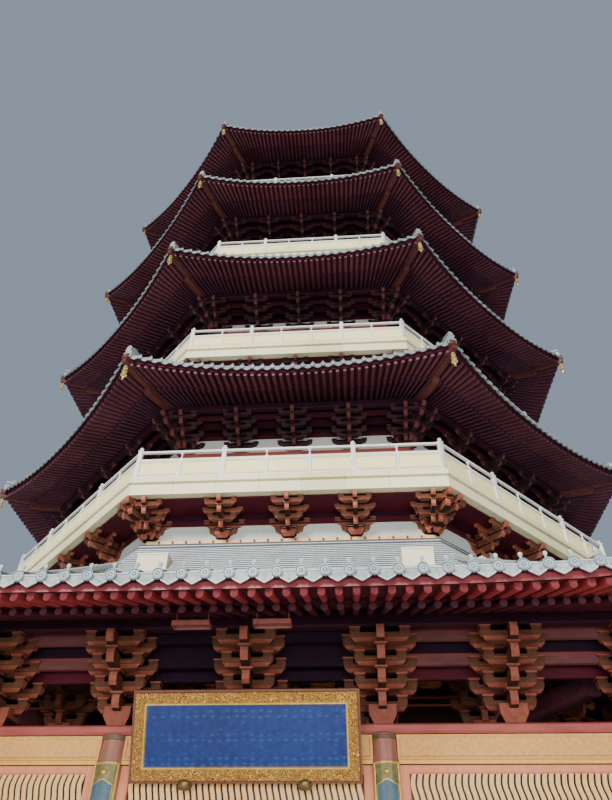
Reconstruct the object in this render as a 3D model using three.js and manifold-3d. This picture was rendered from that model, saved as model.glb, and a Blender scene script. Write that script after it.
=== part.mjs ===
// An octagonal Chinese pagoda of five storeys: a wide columned ground storey under its own skirt roof,
// four balconied storeys with bracketed eaves above it, and a gilded spire on the top roof.
// Every size below is the real building's, in millimetres. The exported group is scaled to 1:2.
// +Z is up, the ground is z = 0, the vertical axis of the tower is the Z axis, and the entrance faces -Y.
import * as THREE from "three";
import { mergeVertices } from "three/addons/utils/BufferGeometryUtils.js";
import Module from "manifold-3d";

const wasm = await Module();
wasm.setup();

// Driving dimensions. "Half" is the distance from the axis to the middle of a face of the octagon.
const MODEL_SCALE = 0.5;
const SIDES = 8;
const GAP = 0.6; // between pieces that rest on each other, 0.3 mm at the model's scale
const EDGE = Math.tan(Math.PI / SIDES); // half a face's width, as a share of its half
const TO_CORNER = 1 / Math.cos(Math.PI / SIDES);

const PLINTH = { half: 17300, height: 450, step: 150, tread: 330, stepsWide: 5200 };

const PORCH = {
  half: 15840, // centre line of the columns
  columnRadius: 230,
  columnTaper: 0.94,
  columnTop: 4380,
  lintelDepth: 450,
  lintelWidth: 260,
  plateTop: 4540,
  centreBay: 4520,
  panelThickness: 100,
  doorWidth: 2700,
  doorHeight: 2750,
};

const SKIRT = {
  half: 19540,
  eave: 5230,
  top: 10160,
  purlinIn: 2450,
  soffitSlope: 0.3,
  curve: 5, // its eave stays straight until close to the corner
  panels: 8,
  ringWidth: 1430,
  ringLip: 150,
};

// From the second storey up. base is the ring wall under the balcony, deck the balcony's edge.
const STOREYS = [
  { floor: 12700, deck: 11790, base: 10500, wall: 9550, eaveHalf: 12840, eave: 16000 },
  { floor: 19950, deck: 10600, base: 9300, wall: 8950, eaveHalf: 12260, eave: 23160 },
  { floor: 27200, deck: 10060, base: 8800, wall: 8300, eaveHalf: 11700, eave: 30390 },
  { floor: 34450, deck: 9550, base: 8300, wall: 7700, eaveHalf: 10960, eave: 37850 },
];
const DECK = { depth: 660, nosing: 280, reveal: 60 };
const BASE = { thickness: 350, bracketHeight: 920, bracketReach: 1000 };
const WALL = { thickness: 350, height: 2540, plateTop: 2690, doorWidth: 1700, doorHeight: 2080 };
const WINDOW = { width: 2200, sill: 800, head: 2080 };
const EAVE = {
  thickness: 250,
  lift: 500, // how much higher a corner stands than the middle of its eave
  flare: 360, // and how much further out
  innerSlope: 0.45,
  roofBelowDeck: 1440,
  purlin: 200,
  purlinDepth: 260,
  sweepLimit: 3600,
  sweepReach: 0.66, // of the slope, or of the sweep limit where the slope is longer
  slopePoints: 3,
};
// What the upper eaves share: purlin, slope of the underside, curve of the edge, panels of a face.
const UPPER_EAVE = { purlinIn: 2020, soffitSlope: 0.26, curve: 2.2, panels: 4, ringWidth: 450 };
// Cover-tile rows of the porch roof: every eighth one, as a rib on each face.
const ROWS = { places: [-6390, -3830, -1280, 1280, 3830, 6390], width: 200, topWidth: 120, height: 90, sink: 80 };
const RIDGES = { width: 300, height: 420, tip: 260, setBack: 120, ring: 420, topWidth: 450 };
const BRACKET = { footWidth: 400, footReach: 180, topWidth: 1150 };
const HIP = { width: 280, depth: 360, below: 130, tip: 110 };
const APEX = { half: 900, height: 45350 };
const RAIL = { in: 110, thickness: 120, panelTop: 720, railFoot: 980, top: 1080, post: 150 };
const RAIL_BAYS = [2, 3, 2]; // panels between the tall posts of one face
const CORE = { half: 10500, thickness: 400, top: 9000, doorWidth: 2400, doorHeight: 2900 };
const BOARD = {
  width: 3360,
  height: 1300,
  depth: 120,
  foot: 3560,
  frame: 190,
  lean: 0.2,
  standOff: 520, // of its foot, in front of the columns' centre line
  armFoot: 330,
};
const COUPLET = { width: 430, height: 2300, thickness: 40, top: 3880 };
const SPIRE = { top: 61900, seatHeight: 860 };

const paint = (hex, roughness, metalness = 0) =>
  new THREE.MeshStandardMaterial({ color: hex, roughness, metalness });
const STONE = paint(0xb9b4a8, 0.85);
const PALE_STONE = paint(0xd9d2b4, 0.7);
const PLASTER = paint(0xc9d3cc, 0.9);
const TIMBER = paint(0x7c3a2a, 0.6);
const BRONZE = paint(0xc99a6c, 0.5, 0.3);
const TILE = paint(0x9fb0b0, 0.5, 0.3);
const RIDGE = paint(0x7d8f90, 0.5, 0.3);
const GILT = paint(0xd9a941, 0.3, 0.9);
const LACQUER = paint(0x1d4f9a, 0.4);

// Solids and booleans

function solidOf(geometry) {
  const bare = geometry.index ? geometry.toNonIndexed() : geometry.clone();
  bare.deleteAttribute("normal");
  bare.deleteAttribute("uv");
  const merged = mergeVertices(bare, 1e-3);
  return new wasm.Manifold(
    new wasm.Mesh({
      numProp: 3,
      vertProperties: merged.attributes.position.array,
      triVerts: new Uint32Array(merged.index.array),
    }),
  );
}

function geometryOf(solid) {
  const mesh = solid.getMesh();
  return new THREE.BufferGeometry()
    .setAttribute("position", new THREE.BufferAttribute(mesh.vertProperties, 3))
    .setIndex(new THREE.BufferAttribute(mesh.triVerts, 1));
}

function fuse(geometries, holes = []) {
  let solid = solidOf(geometries[0]);
  for (const g of geometries.slice(1)) solid = solid.add(solidOf(g));
  for (const g of holes) solid = solid.subtract(solidOf(g));
  return geometryOf(solid);
}

// Simple shapes

// A box given by its size and the centre of its foot.
function block(width, depth, height, x = 0, y = 0, foot = 0) {
  return new THREE.BoxGeometry(width, depth, height).translate(x, y, foot + height / 2);
}

// The octagon swept by a closed section of [half, z] points.
function octagonRing(section) {
  const points = [...section, section[0]].map(([half, z]) => new THREE.Vector2(half * TO_CORNER, z));
  return new THREE.LatheGeometry(points, SIDES, Math.PI / SIDES).rotateX(Math.PI / 2);
}

// A ring of plain rectangular section.
function plainRing(outer, inner, foot, top) {
  return octagonRing([[inner, foot], [outer, foot], [outer, top], [inner, top]]);
}

// An octagonal disc whose section runs from the axis to the axis.
function octagonDisc(section) {
  const points = section.map(([half, z]) => new THREE.Vector2(half * TO_CORNER, z));
  return new THREE.LatheGeometry(points, SIDES, Math.PI / SIDES).rotateX(Math.PI / 2);
}

// Turns a shape made on the front face, which looks along -Y, to face number "side".
function onSide(geometry, side) {
  return geometry.clone().rotateZ((side * 2 * Math.PI) / SIDES);
}

function onEverySide(make) {
  return Array.from({ length: SIDES }, (_, side) => onSide(make(side), side));
}

// Turns a shape made on the front, in the plane of the corner, to corner number "side".
function onCorner(geometry, side) {
  return geometry.clone().rotateZ(((side + 0.5) * 2 * Math.PI) / SIDES);
}

// Places along a face where brackets stand, from one corner to just before the next.
function alongFace(half, count) {
  return Array.from({ length: count }, (_, i) => half * EDGE * ((2 * i) / count - 1));
}

// A four-sided flaring block: square plans of given [width, reach, z], with its back on y = back.
function flaredBlock(x, back, plans) {
  const corners = plans.map(([width, reach, z]) => [
    [x - width / 2, back, z],
    [x - width / 2, -reach, z],
    [x + width / 2, -reach, z],
    [x + width / 2, back, z],
  ]);
  return loft(corners, false);
}

// Joins loops of points, each with the same number of points, into one closed skin.
function loft(loops, closed) {
  const position = loops.flat(2);
  const n = loops[0].length;
  const index = [];
  const last = closed ? loops.length : loops.length - 1;
  for (let i = 0; i < last; i++) {
    const a = i * n;
    const b = ((i + 1) % loops.length) * n;
    for (let j = 0; j < n; j++) {
      const k = (j + 1) % n;
      index.push(a + j, a + k, b + k, a + j, b + k, b + j);
    }
  }
  if (!closed) {
    for (let j = 1; j < n - 1; j++) {
      index.push(0, j + 1, j);
      const top = last * n;
      index.push(top, top + j, top + j + 1);
    }
  }
  return new THREE.BufferGeometry()
    .setAttribute("position", new THREE.Float32BufferAttribute(position, 3))
    .setIndex(index);
}

// The roofs

// The tiled skin's height at distance "half": gentle at the eave and steeper towards the top.
function tileHeight(roof, half) {
  const t = (roof.half - half) / (roof.half - roof.inner);
  return roof.eave + EAVE.thickness + (roof.top - roof.eave - EAVE.thickness) * (0.62 * t + 0.38 * t * t);
}

// The underside of the rafters, with a change of slope over the eave purlin.
function soffitHeight(roof, half) {
  const outer = Math.min(roof.half - half, roof.purlinIn);
  const inner = Math.max(roof.half - half - roof.purlinIn, 0);
  return roof.eave + roof.soffitSlope * outer + EAVE.innerSlope * inner;
}

// How far the corner's sweep has faded at distance "half": 1 at the eave, 0 well up the slope.
function sweepAt(roof, half) {
  const t = (roof.half - half) / Math.min(roof.half - roof.inner, EAVE.sweepLimit);
  return Math.max(0, 1 - t / EAVE.sweepReach) ** 2;
}

// A point of the roof on the front face; "across" runs from -1 at one corner to 1 at the next.
function roofPoint(roof, half, z, across) {
  const sweep = sweepAt(roof, half) * Math.abs(across) ** roof.curve;
  const out = half + EAVE.flare * sweep;
  return [across * EDGE * out, -out, z + EAVE.lift * sweep];
}

// Distances at which the roof's section has a point, from the eave inwards.
function roofHalves(roof, count) {
  return Array.from({ length: count + 1 }, (_, i) => roof.half + ((roof.inner - roof.half) * i) / count);
}

// The roof's closed section at one place across the front face.
function roofSection(roof, across) {
  const tiles = roofHalves(roof, EAVE.slopePoints).map((h) => roofPoint(roof, h, tileHeight(roof, h), across));
  const under = [roof.half, roof.half - roof.purlinIn, roof.inner].map((h) =>
    roofPoint(roof, h, soffitHeight(roof, h), across),
  );
  return [...under, ...tiles.reverse()];
}

function roofSkin(roof) {
  const loops = [];
  for (let side = 0; side < SIDES; side++) {
    for (let i = 0; i < roof.panels; i++) {
      const across = (2 * i) / roof.panels - 1;
      const turn = new THREE.Matrix4().makeRotationZ((side * 2 * Math.PI) / SIDES);
      loops.push(roofSection(roof, across).map((p) => new THREE.Vector3(...p).applyMatrix4(turn).toArray()));
    }
  }
  return loft(loops, true);
}

// How far apart, on plan, the points of a roof's section are.
function slopeStep(roof) {
  return (roof.half - roof.inner) / EAVE.slopePoints;
}

// A hip ridge on the corner between the front face and the next one, and its upturned end.
function hipRidge(roof) {
  const { width, height, tip, setBack } = RIDGES;
  const turn = new THREE.Matrix4().makeRotationZ(-Math.PI / SIDES);
  const line = roofHalves(roof, EAVE.slopePoints).map((h) =>
    new THREE.Vector3(...roofPoint(roof, h, tileHeight(roof, h), 1)).applyMatrix4(turn),
  );
  line[0].lerp(line[1], setBack / slopeStep(roof));
  const loops = line.map(({ y, z }, i) => {
    const top = z + height + (i === 0 ? tip : 0);
    return [
      [-width / 2, y, z + GAP],
      [-width / 2, y, top],
      [width / 2, y, top],
      [width / 2, y, z + GAP],
    ];
  });
  return loft(loops, false).rotateZ(Math.PI / SIDES);
}

// The ridge round the top of a roof, where it meets the wall above or the spire. A wide one slopes.
function ringRidge(roof) {
  const outer = roof.inner + roof.ringWidth;
  const fall = roof.top - tileHeight(roof, roof.inner + slopeStep(roof));
  const outerFoot = roof.top - (fall * roof.ringWidth) / slopeStep(roof);
  const top = roof.top + RIDGES.ring;
  const slope = roof.ringWidth > RIDGES.topWidth ? [[outer, outerFoot + roof.ringLip]] : [];
  return octagonRing([
    [roof.inner, roof.top + GAP],
    [outer, outerFoot + GAP],
    ...slope,
    [roof.inner + RIDGES.topWidth, top],
    [roof.inner, top],
  ]);
}

// A row of cover tiles up the front face, from the eave to the ridge round the top or to the hip.
function coverRow(roof, x) {
  const atHip = (Math.abs(x) + ROWS.width / 2 + RIDGES.width) / EDGE;
  const end = Math.max(roof.inner + roof.ringWidth + ROWS.width / 2, atHip);
  const halves = [...roofHalves(roof, EAVE.slopePoints).filter((h) => h > end), end];
  const loops = halves.map((h) => {
    const [middle, y, z] = roofPoint(roof, h, tileHeight(roof, h), x / (EDGE * h));
    return [
      [middle - ROWS.width / 2, y, z - ROWS.sink],
      [middle - ROWS.topWidth / 2, y, z + ROWS.height],
      [middle + ROWS.topWidth / 2, y, z + ROWS.height],
      [middle + ROWS.width / 2, y, z - ROWS.sink],
    ];
  });
  return loft(loops, false);
}

function porchRoof(roof) {
  const rows = ROWS.places.flatMap((x) => onEverySide(() => coverRow(roof, x)));
  return fuse([roofSkin(roof), ...rows]);
}

// The eaves' brackets

// One bracket set of the eaves: arms on a cap block, which step out and widen up to the purlin.
function eaveBracket(x, half, foot, top, reach) {
  return flaredBlock(x, -half + 20, [
    [BRACKET.footWidth, half + BRACKET.footReach, foot],
    [BRACKET.topWidth, half + reach, top],
  ]);
}

// A hip beam under the corner of the roof, from the purlin's corner to just past the eave's.
function hipBeam(roof) {
  const { width, depth, below, tip } = HIP;
  const turn = new THREE.Matrix4().makeRotationZ(-Math.PI / SIDES);
  const halves = [roof.half - roof.purlinIn - 300, roof.half - 900, roof.half + tip];
  const loops = halves.map((h, i) => {
    const under = soffitHeight(roof, Math.min(h, roof.half));
    const [, y, z] = new THREE.Vector3(...roofPoint(roof, h, under, 1)).applyMatrix4(turn).toArray();
    const top = z - below;
    const thick = i === 2 ? depth * 0.6 : depth;
    return [
      [-width / 2, y, top - thick],
      [-width / 2, y, top],
      [width / 2, y, top],
      [width / 2, y, top - thick],
    ];
  });
  return loft(loops.reverse(), false).rotateZ(Math.PI / SIDES);
}

// The whole bracket storey: plate beam, the wall between the brackets, brackets, purlin and hip beams.
// The beam reaches in to "seatHalf", where the ring wall of the storey above stands on it.
function eaveFrame(roof, wallHalf, seatHalf, plateFoot, plateTop, sets) {
  const purlinHalf = roof.half - roof.purlinIn;
  const purlinTop = soffitHeight(roof, purlinHalf + EAVE.purlin / 2) - GAP;
  const purlinFoot = purlinTop - EAVE.purlinDepth;
  const bandHalf = wallHalf + 60;
  const bandTop = soffitHeight(roof, bandHalf) - GAP;
  const beam = octagonRing([
    [seatHalf, plateFoot],
    [wallHalf + 160, plateFoot],
    [wallHalf + 160, plateTop],
    [bandHalf, plateTop],
    [bandHalf, bandTop],
    [seatHalf, bandTop],
  ]);
  const purlin = plainRing(purlinHalf + EAVE.purlin / 2, purlinHalf - EAVE.purlin / 2, purlinFoot, purlinTop);
  const parts = [beam, purlin];
  const foot = plateTop + 10;
  const top = purlinFoot + 20;
  const reach = purlinHalf - wallHalf;
  for (let side = 0; side < SIDES; side++) {
    for (const x of alongFace(wallHalf, sets).slice(1)) {
      parts.push(onSide(eaveBracket(x, wallHalf, foot, top, reach), side));
    }
    parts.push(onCorner(eaveBracket(0, wallHalf * TO_CORNER, foot, top, reach * TO_CORNER), side));
    parts.push(onSide(hipBeam(roof), side));
  }
  return fuse(parts);
}

// The balconied storeys

// The floor slab: it runs through the storey and out as the balcony, with a two-step stone edge.
function floorSlab({ floor, deck }) {
  const nosing = floor - DECK.nosing;
  return octagonDisc([
    [0, floor - DECK.depth],
    [deck - DECK.reveal, floor - DECK.depth],
    [deck - DECK.reveal, nosing],
    [deck, nosing],
    [deck, floor],
    [0, floor],
  ]);
}

// The ring wall under a balcony, with the brackets that carry the slab's edge.
function balconyBase({ floor, deck, base }, foot) {
  const top = floor - DECK.depth - GAP;
  const bracketFoot = top - BASE.bracketHeight;
  const parts = [plainRing(base, base - BASE.thickness, foot, top)];
  const reach = Math.min(BASE.bracketReach, deck - 220 - base);
  const bracket = (x, half, out) =>
    flaredBlock(x, -half + 100, [
      [BRACKET.footWidth, half + BRACKET.footReach, bracketFoot],
      [BRACKET.topWidth, half + out, top - 20],
    ]);
  for (let side = 0; side < SIDES; side++) {
    for (const x of alongFace(base, 4).slice(1)) parts.push(onSide(bracket(x, base, reach), side));
    parts.push(onCorner(bracket(0, base * TO_CORNER, reach * TO_CORNER), side));
  }
  return fuse(parts);
}

// The railing: stone panels below, a top rail above, and tall posts at the corners and between bays.
function railing({ floor, deck }) {
  const middle = deck - RAIL.in;
  const thick = RAIL.thickness;
  const plate = plainRing(middle + thick / 2, middle - thick / 2, floor + GAP, floor + RAIL.top);
  const panels = RAIL_BAYS.reduce((sum, n) => sum + n, 0);
  const panelWidth = (2 * middle * EDGE) / panels;
  const slot = (first, count) =>
    block(
      count * panelWidth - RAIL.post,
      thick * 3,
      RAIL.railFoot - RAIL.panelTop,
      -middle * EDGE + (first + count / 2) * panelWidth,
      -middle,
      floor + RAIL.panelTop,
    );
  const slots = [];
  let first = 0;
  for (const count of RAIL_BAYS) {
    slots.push(...onEverySide(() => slot(first, count)));
    first += count;
  }
  return fuse([plate], slots);
}

// The storey's wall, with doorways on the four main faces and windows on the other four.
function storeyWall({ floor, wall }) {
  const shell = plainRing(wall, wall - WALL.thickness, floor + GAP, floor + WALL.height - GAP);
  const through = WALL.thickness * 3;
  const middle = -wall + WALL.thickness / 2;
  const door = block(WALL.doorWidth, through, WALL.doorHeight + 100, 0, middle, floor - 100);
  const window = block(WINDOW.width, through, WINDOW.head - WINDOW.sill, 0, middle, floor + WINDOW.sill);
  return fuse([shell], onEverySide((side) => (side % 2 ? window : door)));
}

// The ground storey

function plinth() {
  const { half, height, step, tread, stepsWide } = PLINTH;
  const parts = [plainDisc(half, 0, height)];
  for (let side = 0; side < SIDES; side += 2) {
    for (let i = 1; i * step < height; i++) {
      const run = (height / step - i) * tread;
      parts.push(onSide(block(stepsWide, run + 400, i * step, 0, -half - run / 2 + 200, 0), side));
    }
  }
  return fuse(parts);
}

function plainDisc(half, foot, top) {
  return octagonDisc([[0, foot], [half, foot], [half, top], [0, top]]);
}

// One face of the porch: its corner column, two columns between, the lintel and the lattice walls.
function porchWall(side) {
  const floor = PLINTH.height + GAP;
  const { half, columnRadius, columnTaper, columnTop, lintelDepth, lintelWidth, panelThickness } = PORCH;
  const column = (x, y) =>
    new THREE.CylinderGeometry(columnRadius * columnTaper, columnRadius, columnTop - floor, 8, 1)
      .rotateX(Math.PI / 2)
      .translate(x, y, (columnTop + floor) / 2);
  const width = 2 * half * EDGE;
  const shorten = columnRadius + GAP; // the next face's corner column stands at the far end
  const left = -width / 2;
  const span = width - shorten;
  const centre = left + span / 2;
  const lintelFoot = columnTop - lintelDepth;
  const parts = [
    column(left, -half),
    column(-PORCH.centreBay / 2, -half),
    column(PORCH.centreBay / 2, -half),
    block(span, lintelWidth, lintelDepth - 1, centre, -half, lintelFoot),
    block(span, panelThickness, lintelFoot + 20 - floor, centre, -half, floor),
  ];
  const doorway = block(PORCH.doorWidth, 900, PORCH.doorHeight + 100, 0, -half, PLINTH.height - 100);
  return fuse(parts, side % 2 ? [] : [doorway]);
}

// The inner ring wall that carries the tower above the porch roof.
function coreWall() {
  const shell = plainRing(CORE.half, CORE.half - CORE.thickness, PLINTH.height + GAP, CORE.top);
  const middle = -CORE.half + CORE.thickness / 2;
  const door = block(CORE.doorWidth, 1200, CORE.doorHeight + 100, 0, middle, PLINTH.height - 100);
  return fuse([shell], [0, 2, 4, 6].map((side) => onSide(door, side)));
}

// The framed name board, which leans out over the entrance and hangs on two arms from the lintel.
function nameBoard() {
  const { width, height, depth, foot, lean, standOff, frame, armFoot } = BOARD;
  const panel = block(width, depth, height);
  const recess = block(width - 2 * frame, depth, height - 2 * frame, 0, -depth * 0.6, frame);
  const lintelFront = standOff - PORCH.lintelWidth / 2 - GAP;
  const armEnd = (lintelFront + armFoot * Math.sin(lean)) / Math.cos(lean);
  const arm = (x) => block(140, armEnd, 90, x, armEnd / 2, armFoot);
  return fuse([panel, arm(-width * 0.3), arm(width * 0.3)], [recess])
    .rotateX(lean)
    .translate(0, -PORCH.half - standOff, foot);
}

// A curved couplet board, hung round the front of one column.
function coupletBoard(side) {
  const share = (COUPLET.top - COUPLET.height - PLINTH.height) / (PORCH.columnTop - PLINTH.height);
  const inner = PORCH.columnRadius * (1 - share * (1 - PORCH.columnTaper)) + GAP;
  const outer = inner + COUPLET.thickness;
  const reach = COUPLET.width / 2 / outer;
  const shape = new THREE.Shape();
  shape.absarc(0, 0, outer, -Math.PI / 2 - reach, -Math.PI / 2 + reach, false);
  shape.absarc(0, 0, inner, -Math.PI / 2 + reach, -Math.PI / 2 - reach, true);
  return new THREE.ExtrudeGeometry(shape, { depth: COUPLET.height, bevelEnabled: false, curveSegments: 6 })
    .translate((side * PORCH.centreBay) / 2, -PORCH.half, COUPLET.top - COUPLET.height);
}

// The spire

function turned(profile, segments) {
  return new THREE.LatheGeometry(profile.map(([r, z]) => new THREE.Vector2(r, z)), segments).rotateX(Math.PI / 2);
}

// The moulded octagonal seat and the lotus bowl on it.
function spireSeat() {
  const z = APEX.height + RIDGES.ring + GAP;
  return octagonDisc([
    [0, z],
    [1150, z],
    [1150, z + 180],
    [860, z + 300],
    [860, z + 560],
    [1120, z + 700],
    [1120, z + SPIRE.seatHeight],
    [0, z + SPIRE.seatHeight],
  ]);
}

// The rings, the canopy and the jewel, on their mast.
function spireMast() {
  const foot = APEX.height + RIDGES.ring + SPIRE.seatHeight + 2 * GAP;
  const bowlTop = foot + 1500;
  const profile = [[0, foot], [700, foot], [1180, foot + 500], [1100, foot + 1050], [420, bowlTop]];
  const rings = 7;
  const ringsTop = foot + 9300;
  const pitch = (ringsTop - bowlTop) / rings;
  for (let i = 0; i < rings; i++) {
    const radius = 980 - 75 * i;
    const z = bowlTop + pitch * i;
    profile.push([190, z + pitch * 0.2], [radius, z + pitch * 0.5], [190, z + pitch * 0.8]);
  }
  profile.push([190, ringsTop], [900, ringsTop + 350], [820, ringsTop + 620], [160, ringsTop + 1100]);
  profile.push([150, ringsTop + 2000], [560, ringsTop + 2500], [560, ringsTop + 3000], [130, ringsTop + 3500]);
  profile.push([330, ringsTop + 3900], [300, ringsTop + 4250], [60, ringsTop + 4800], [0, SPIRE.top]);
  return turned(profile, 8);
}

// The assembly

const pagoda = new THREE.Group();

function place(name, geometry, material) {
  const mesh = new THREE.Mesh(geometry, material);
  mesh.name = name;
  pagoda.add(mesh);
}

const FACE_NAMES = ["front", "front_right", "right", "back_right", "back", "back_left", "left", "front_left"];
const LEVEL_NAMES = ["second", "third", "fourth", "fifth"];

const skirt = { ...SKIRT, inner: STOREYS[0].base + 20 };

place("stone_plinth", plinth(), STONE);
FACE_NAMES.forEach((name, side) => place(`porch_wall_${name}`, onSide(porchWall(side), side), BRONZE));
const porchSeat = PORCH.half - PORCH.lintelWidth / 2;
const porchBeam = [PORCH.columnTop + GAP, PORCH.plateTop];
place("porch_eave_brackets", eaveFrame(skirt, PORCH.half, porchSeat, ...porchBeam, 6), TIMBER);
place("porch_roof", porchRoof(skirt), TILE);
place("porch_roof_ridges", fuse([ringRidge(skirt), ...onEverySide(() => hipRidge(skirt))]), RIDGE);
place("core_wall", coreWall(), PLASTER);
place("name_board", nameBoard(), LACQUER);
place("couplet_board_left", coupletBoard(-1), GILT);
place("couplet_board_right", coupletBoard(1), GILT);

STOREYS.forEach((storey, i) => {
  const level = LEVEL_NAMES[i];
  const above = STOREYS[i + 1];
  const below = i ? STOREYS[i - 1] : null;
  const roof = {
    ...UPPER_EAVE,
    half: storey.eaveHalf,
    eave: storey.eave,
    inner: above ? above.base + 20 : APEX.half,
    top: above ? above.floor - DECK.depth - EAVE.roofBelowDeck : APEX.height,
  };
  const roofBelow = below && { ...UPPER_EAVE, half: below.eaveHalf, eave: below.eave };
  const foot = below ? soffitHeight(roofBelow, below.wall + 60) : CORE.top + GAP;
  place(`${level}_balcony_base`, balconyBase(storey, foot), TIMBER);
  place(`${level}_floor`, floorSlab(storey), PALE_STONE);
  place(`${level}_railing`, railing(storey), PALE_STONE);
  place(`${level}_wall`, storeyWall(storey), PLASTER);
  const seat = above ? above.base - BASE.thickness : storey.wall - WALL.thickness;
  const beam = [storey.floor + WALL.height, storey.floor + WALL.plateTop];
  place(`${level}_eave_brackets`, eaveFrame(roof, storey.wall, seat, ...beam, 4), TIMBER);
  place(`${level}_roof`, roofSkin(roof), TILE);
  place(`${level}_roof_ridges`, fuse([ringRidge(roof), ...onEverySide(() => hipRidge(roof))]), RIDGE);
});

place("spire_seat", spireSeat(), GILT);
place("spire_mast", spireMast(), GILT);

pagoda.scale.setScalar(MODEL_SCALE);

export default pagoda;
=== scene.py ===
import math
import bmesh
import bpy
import numpy as np
from mathutils import Matrix, Vector


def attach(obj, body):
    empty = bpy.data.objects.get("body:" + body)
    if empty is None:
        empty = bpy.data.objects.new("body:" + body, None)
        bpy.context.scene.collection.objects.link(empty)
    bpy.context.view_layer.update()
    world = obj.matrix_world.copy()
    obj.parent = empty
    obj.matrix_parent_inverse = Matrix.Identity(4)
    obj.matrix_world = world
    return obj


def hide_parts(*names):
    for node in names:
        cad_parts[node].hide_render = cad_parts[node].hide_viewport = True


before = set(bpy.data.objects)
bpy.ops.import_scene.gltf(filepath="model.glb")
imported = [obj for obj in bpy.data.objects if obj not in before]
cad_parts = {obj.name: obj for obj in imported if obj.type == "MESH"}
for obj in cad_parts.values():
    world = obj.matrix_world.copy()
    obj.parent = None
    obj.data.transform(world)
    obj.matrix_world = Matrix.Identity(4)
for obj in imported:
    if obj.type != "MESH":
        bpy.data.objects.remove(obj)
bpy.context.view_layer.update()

# The studio: a pale floor, one wide soft light high on the entrance side, and a pale surround that
# fills the shadows. The camera stands in front of the entrance and looks steeply up at the eaves.
CAMERA_TURN, CAMERA_TILT, CAMERA_ROLL = -0.0796, 0.7378, 0.0162
camera = bpy.data.objects.new("camera", bpy.data.cameras.new("camera"))
bpy.context.scene.collection.objects.link(camera)
bpy.context.scene.camera = camera
camera.data.lens = 27.86
camera.data.clip_end = 400
ahead = Vector((
    math.sin(CAMERA_TURN) * math.cos(CAMERA_TILT),
    math.cos(CAMERA_TURN) * math.cos(CAMERA_TILT),
    math.sin(CAMERA_TILT),
))
level_way = Vector((math.cos(CAMERA_TURN), -math.sin(CAMERA_TURN), 0))
upright_way = level_way.cross(ahead)
to_right = math.cos(CAMERA_ROLL) * level_way + math.sin(CAMERA_ROLL) * upright_way
upwards = math.cos(CAMERA_ROLL) * upright_way - math.sin(CAMERA_ROLL) * level_way
camera_turned = Matrix((to_right, upwards, -ahead)).transposed().to_4x4()
camera.matrix_world = Matrix.Translation((0.892, -13.614, 0.7775)) @ camera_turned


def new_paint(name):
    """An empty material, with its node tree and its shader's sockets."""
    material = bpy.data.materials.new(name)
    material.use_nodes = True
    return material, material.node_tree, material.node_tree.nodes["Principled BSDF"].inputs


def lamp(name, kind, strength, colour, towards):
    """A light that shines in one direction."""
    made = bpy.data.objects.new(name, bpy.data.lights.new(name, kind))
    bpy.context.scene.collection.objects.link(made)
    made.data.energy = strength
    made.data.color = colour
    made.rotation_euler = Vector(towards).to_track_quat("-Z", "Y").to_euler()
    return made


bpy.ops.object.select_all(action="DESELECT")
bpy.ops.mesh.primitive_plane_add(size=240)
floor = bpy.context.object
floor.name = "studio_floor"
floor_paint, floor_tree, floor_shader = new_paint("studio_floor")
floor_shader["Base Color"].default_value = (0.4, 0.41, 0.43, 1)
floor_shader["Roughness"].default_value = 0.9
floor.data.materials.append(floor_paint)
soft_light = lamp("soft_light", "SUN", 5.6, (1.0, 0.96, 0.9), (0.28, 1.0, -0.72))
soft_light.data.angle = math.radians(14)
front_light = lamp("front_light", "AREA", 1000, (1.0, 0.93, 0.85), (-0.1, 1.0, 0.06))
front_light.data.shape = "RECTANGLE"
front_light.data.size, front_light.data.size_y = 14, 3
front_light.location = (1.0, -17.5, 1.6)
surround = bpy.data.worlds.new("surround")
surround.use_nodes = True
surround.node_tree.nodes["Background"].inputs["Color"].default_value = (0.66, 0.8, 1.0, 1)
surround.node_tree.nodes["Background"].inputs["Strength"].default_value = 0.4
bpy.context.scene.world = surround

# The platform: sawn granite slabs laid in courses, with steps on the four main sides. The solid's
# shape is right, so it only gets its stone, with slab joints and a rough-sawn face.


def node(tree, kind, values=(), **settings):
    """Adds a shader node with its settings and its sockets' values or incoming sockets."""
    made = tree.nodes.new("ShaderNode" + kind)
    for key, value in settings.items():
        setattr(made, key, value)
    for socket, value in dict(values).items():
        if isinstance(value, bpy.types.NodeSocket):
            tree.links.new(value, made.inputs[socket])
        else:
            made.inputs[socket].default_value = value
    return made


def maths(tree, operation, *values):
    """A sum on numbers and incoming sockets."""
    return node(tree, "Math", enumerate(values), operation=operation).outputs[0]


def place_on(tree, pattern=None):
    """Where a spot lies on its piece, or in the layout that was noted for a pattern."""
    if pattern:
        return node(tree, "UVMap", uv_map=pattern).outputs[0]
    return node(tree, "TexCoord").outputs["Object"]


def tones(tree, factor, *stops):
    """A ramp of colours, each stop given as (place, red, green, blue)."""
    ramp = node(tree, "ValToRGB", {"Fac": factor})
    while len(ramp.color_ramp.elements) < len(stops):
        ramp.color_ramp.elements.new(0.5)
    for element, (place, *colour) in zip(ramp.color_ramp.elements, stops):
        element.position = place
        element.color = (*colour, 1)
    return ramp.outputs["Color"]


def raised_by(tree, height, strength, distance, **under):
    """Gives the surface the relief of a pattern."""
    bump = node(tree, "Bump", {"Height": height, "Strength": strength, "Distance": distance, **under})
    tree.links.new(bump.outputs[0], tree.nodes["Principled BSDF"].inputs["Normal"])


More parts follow.
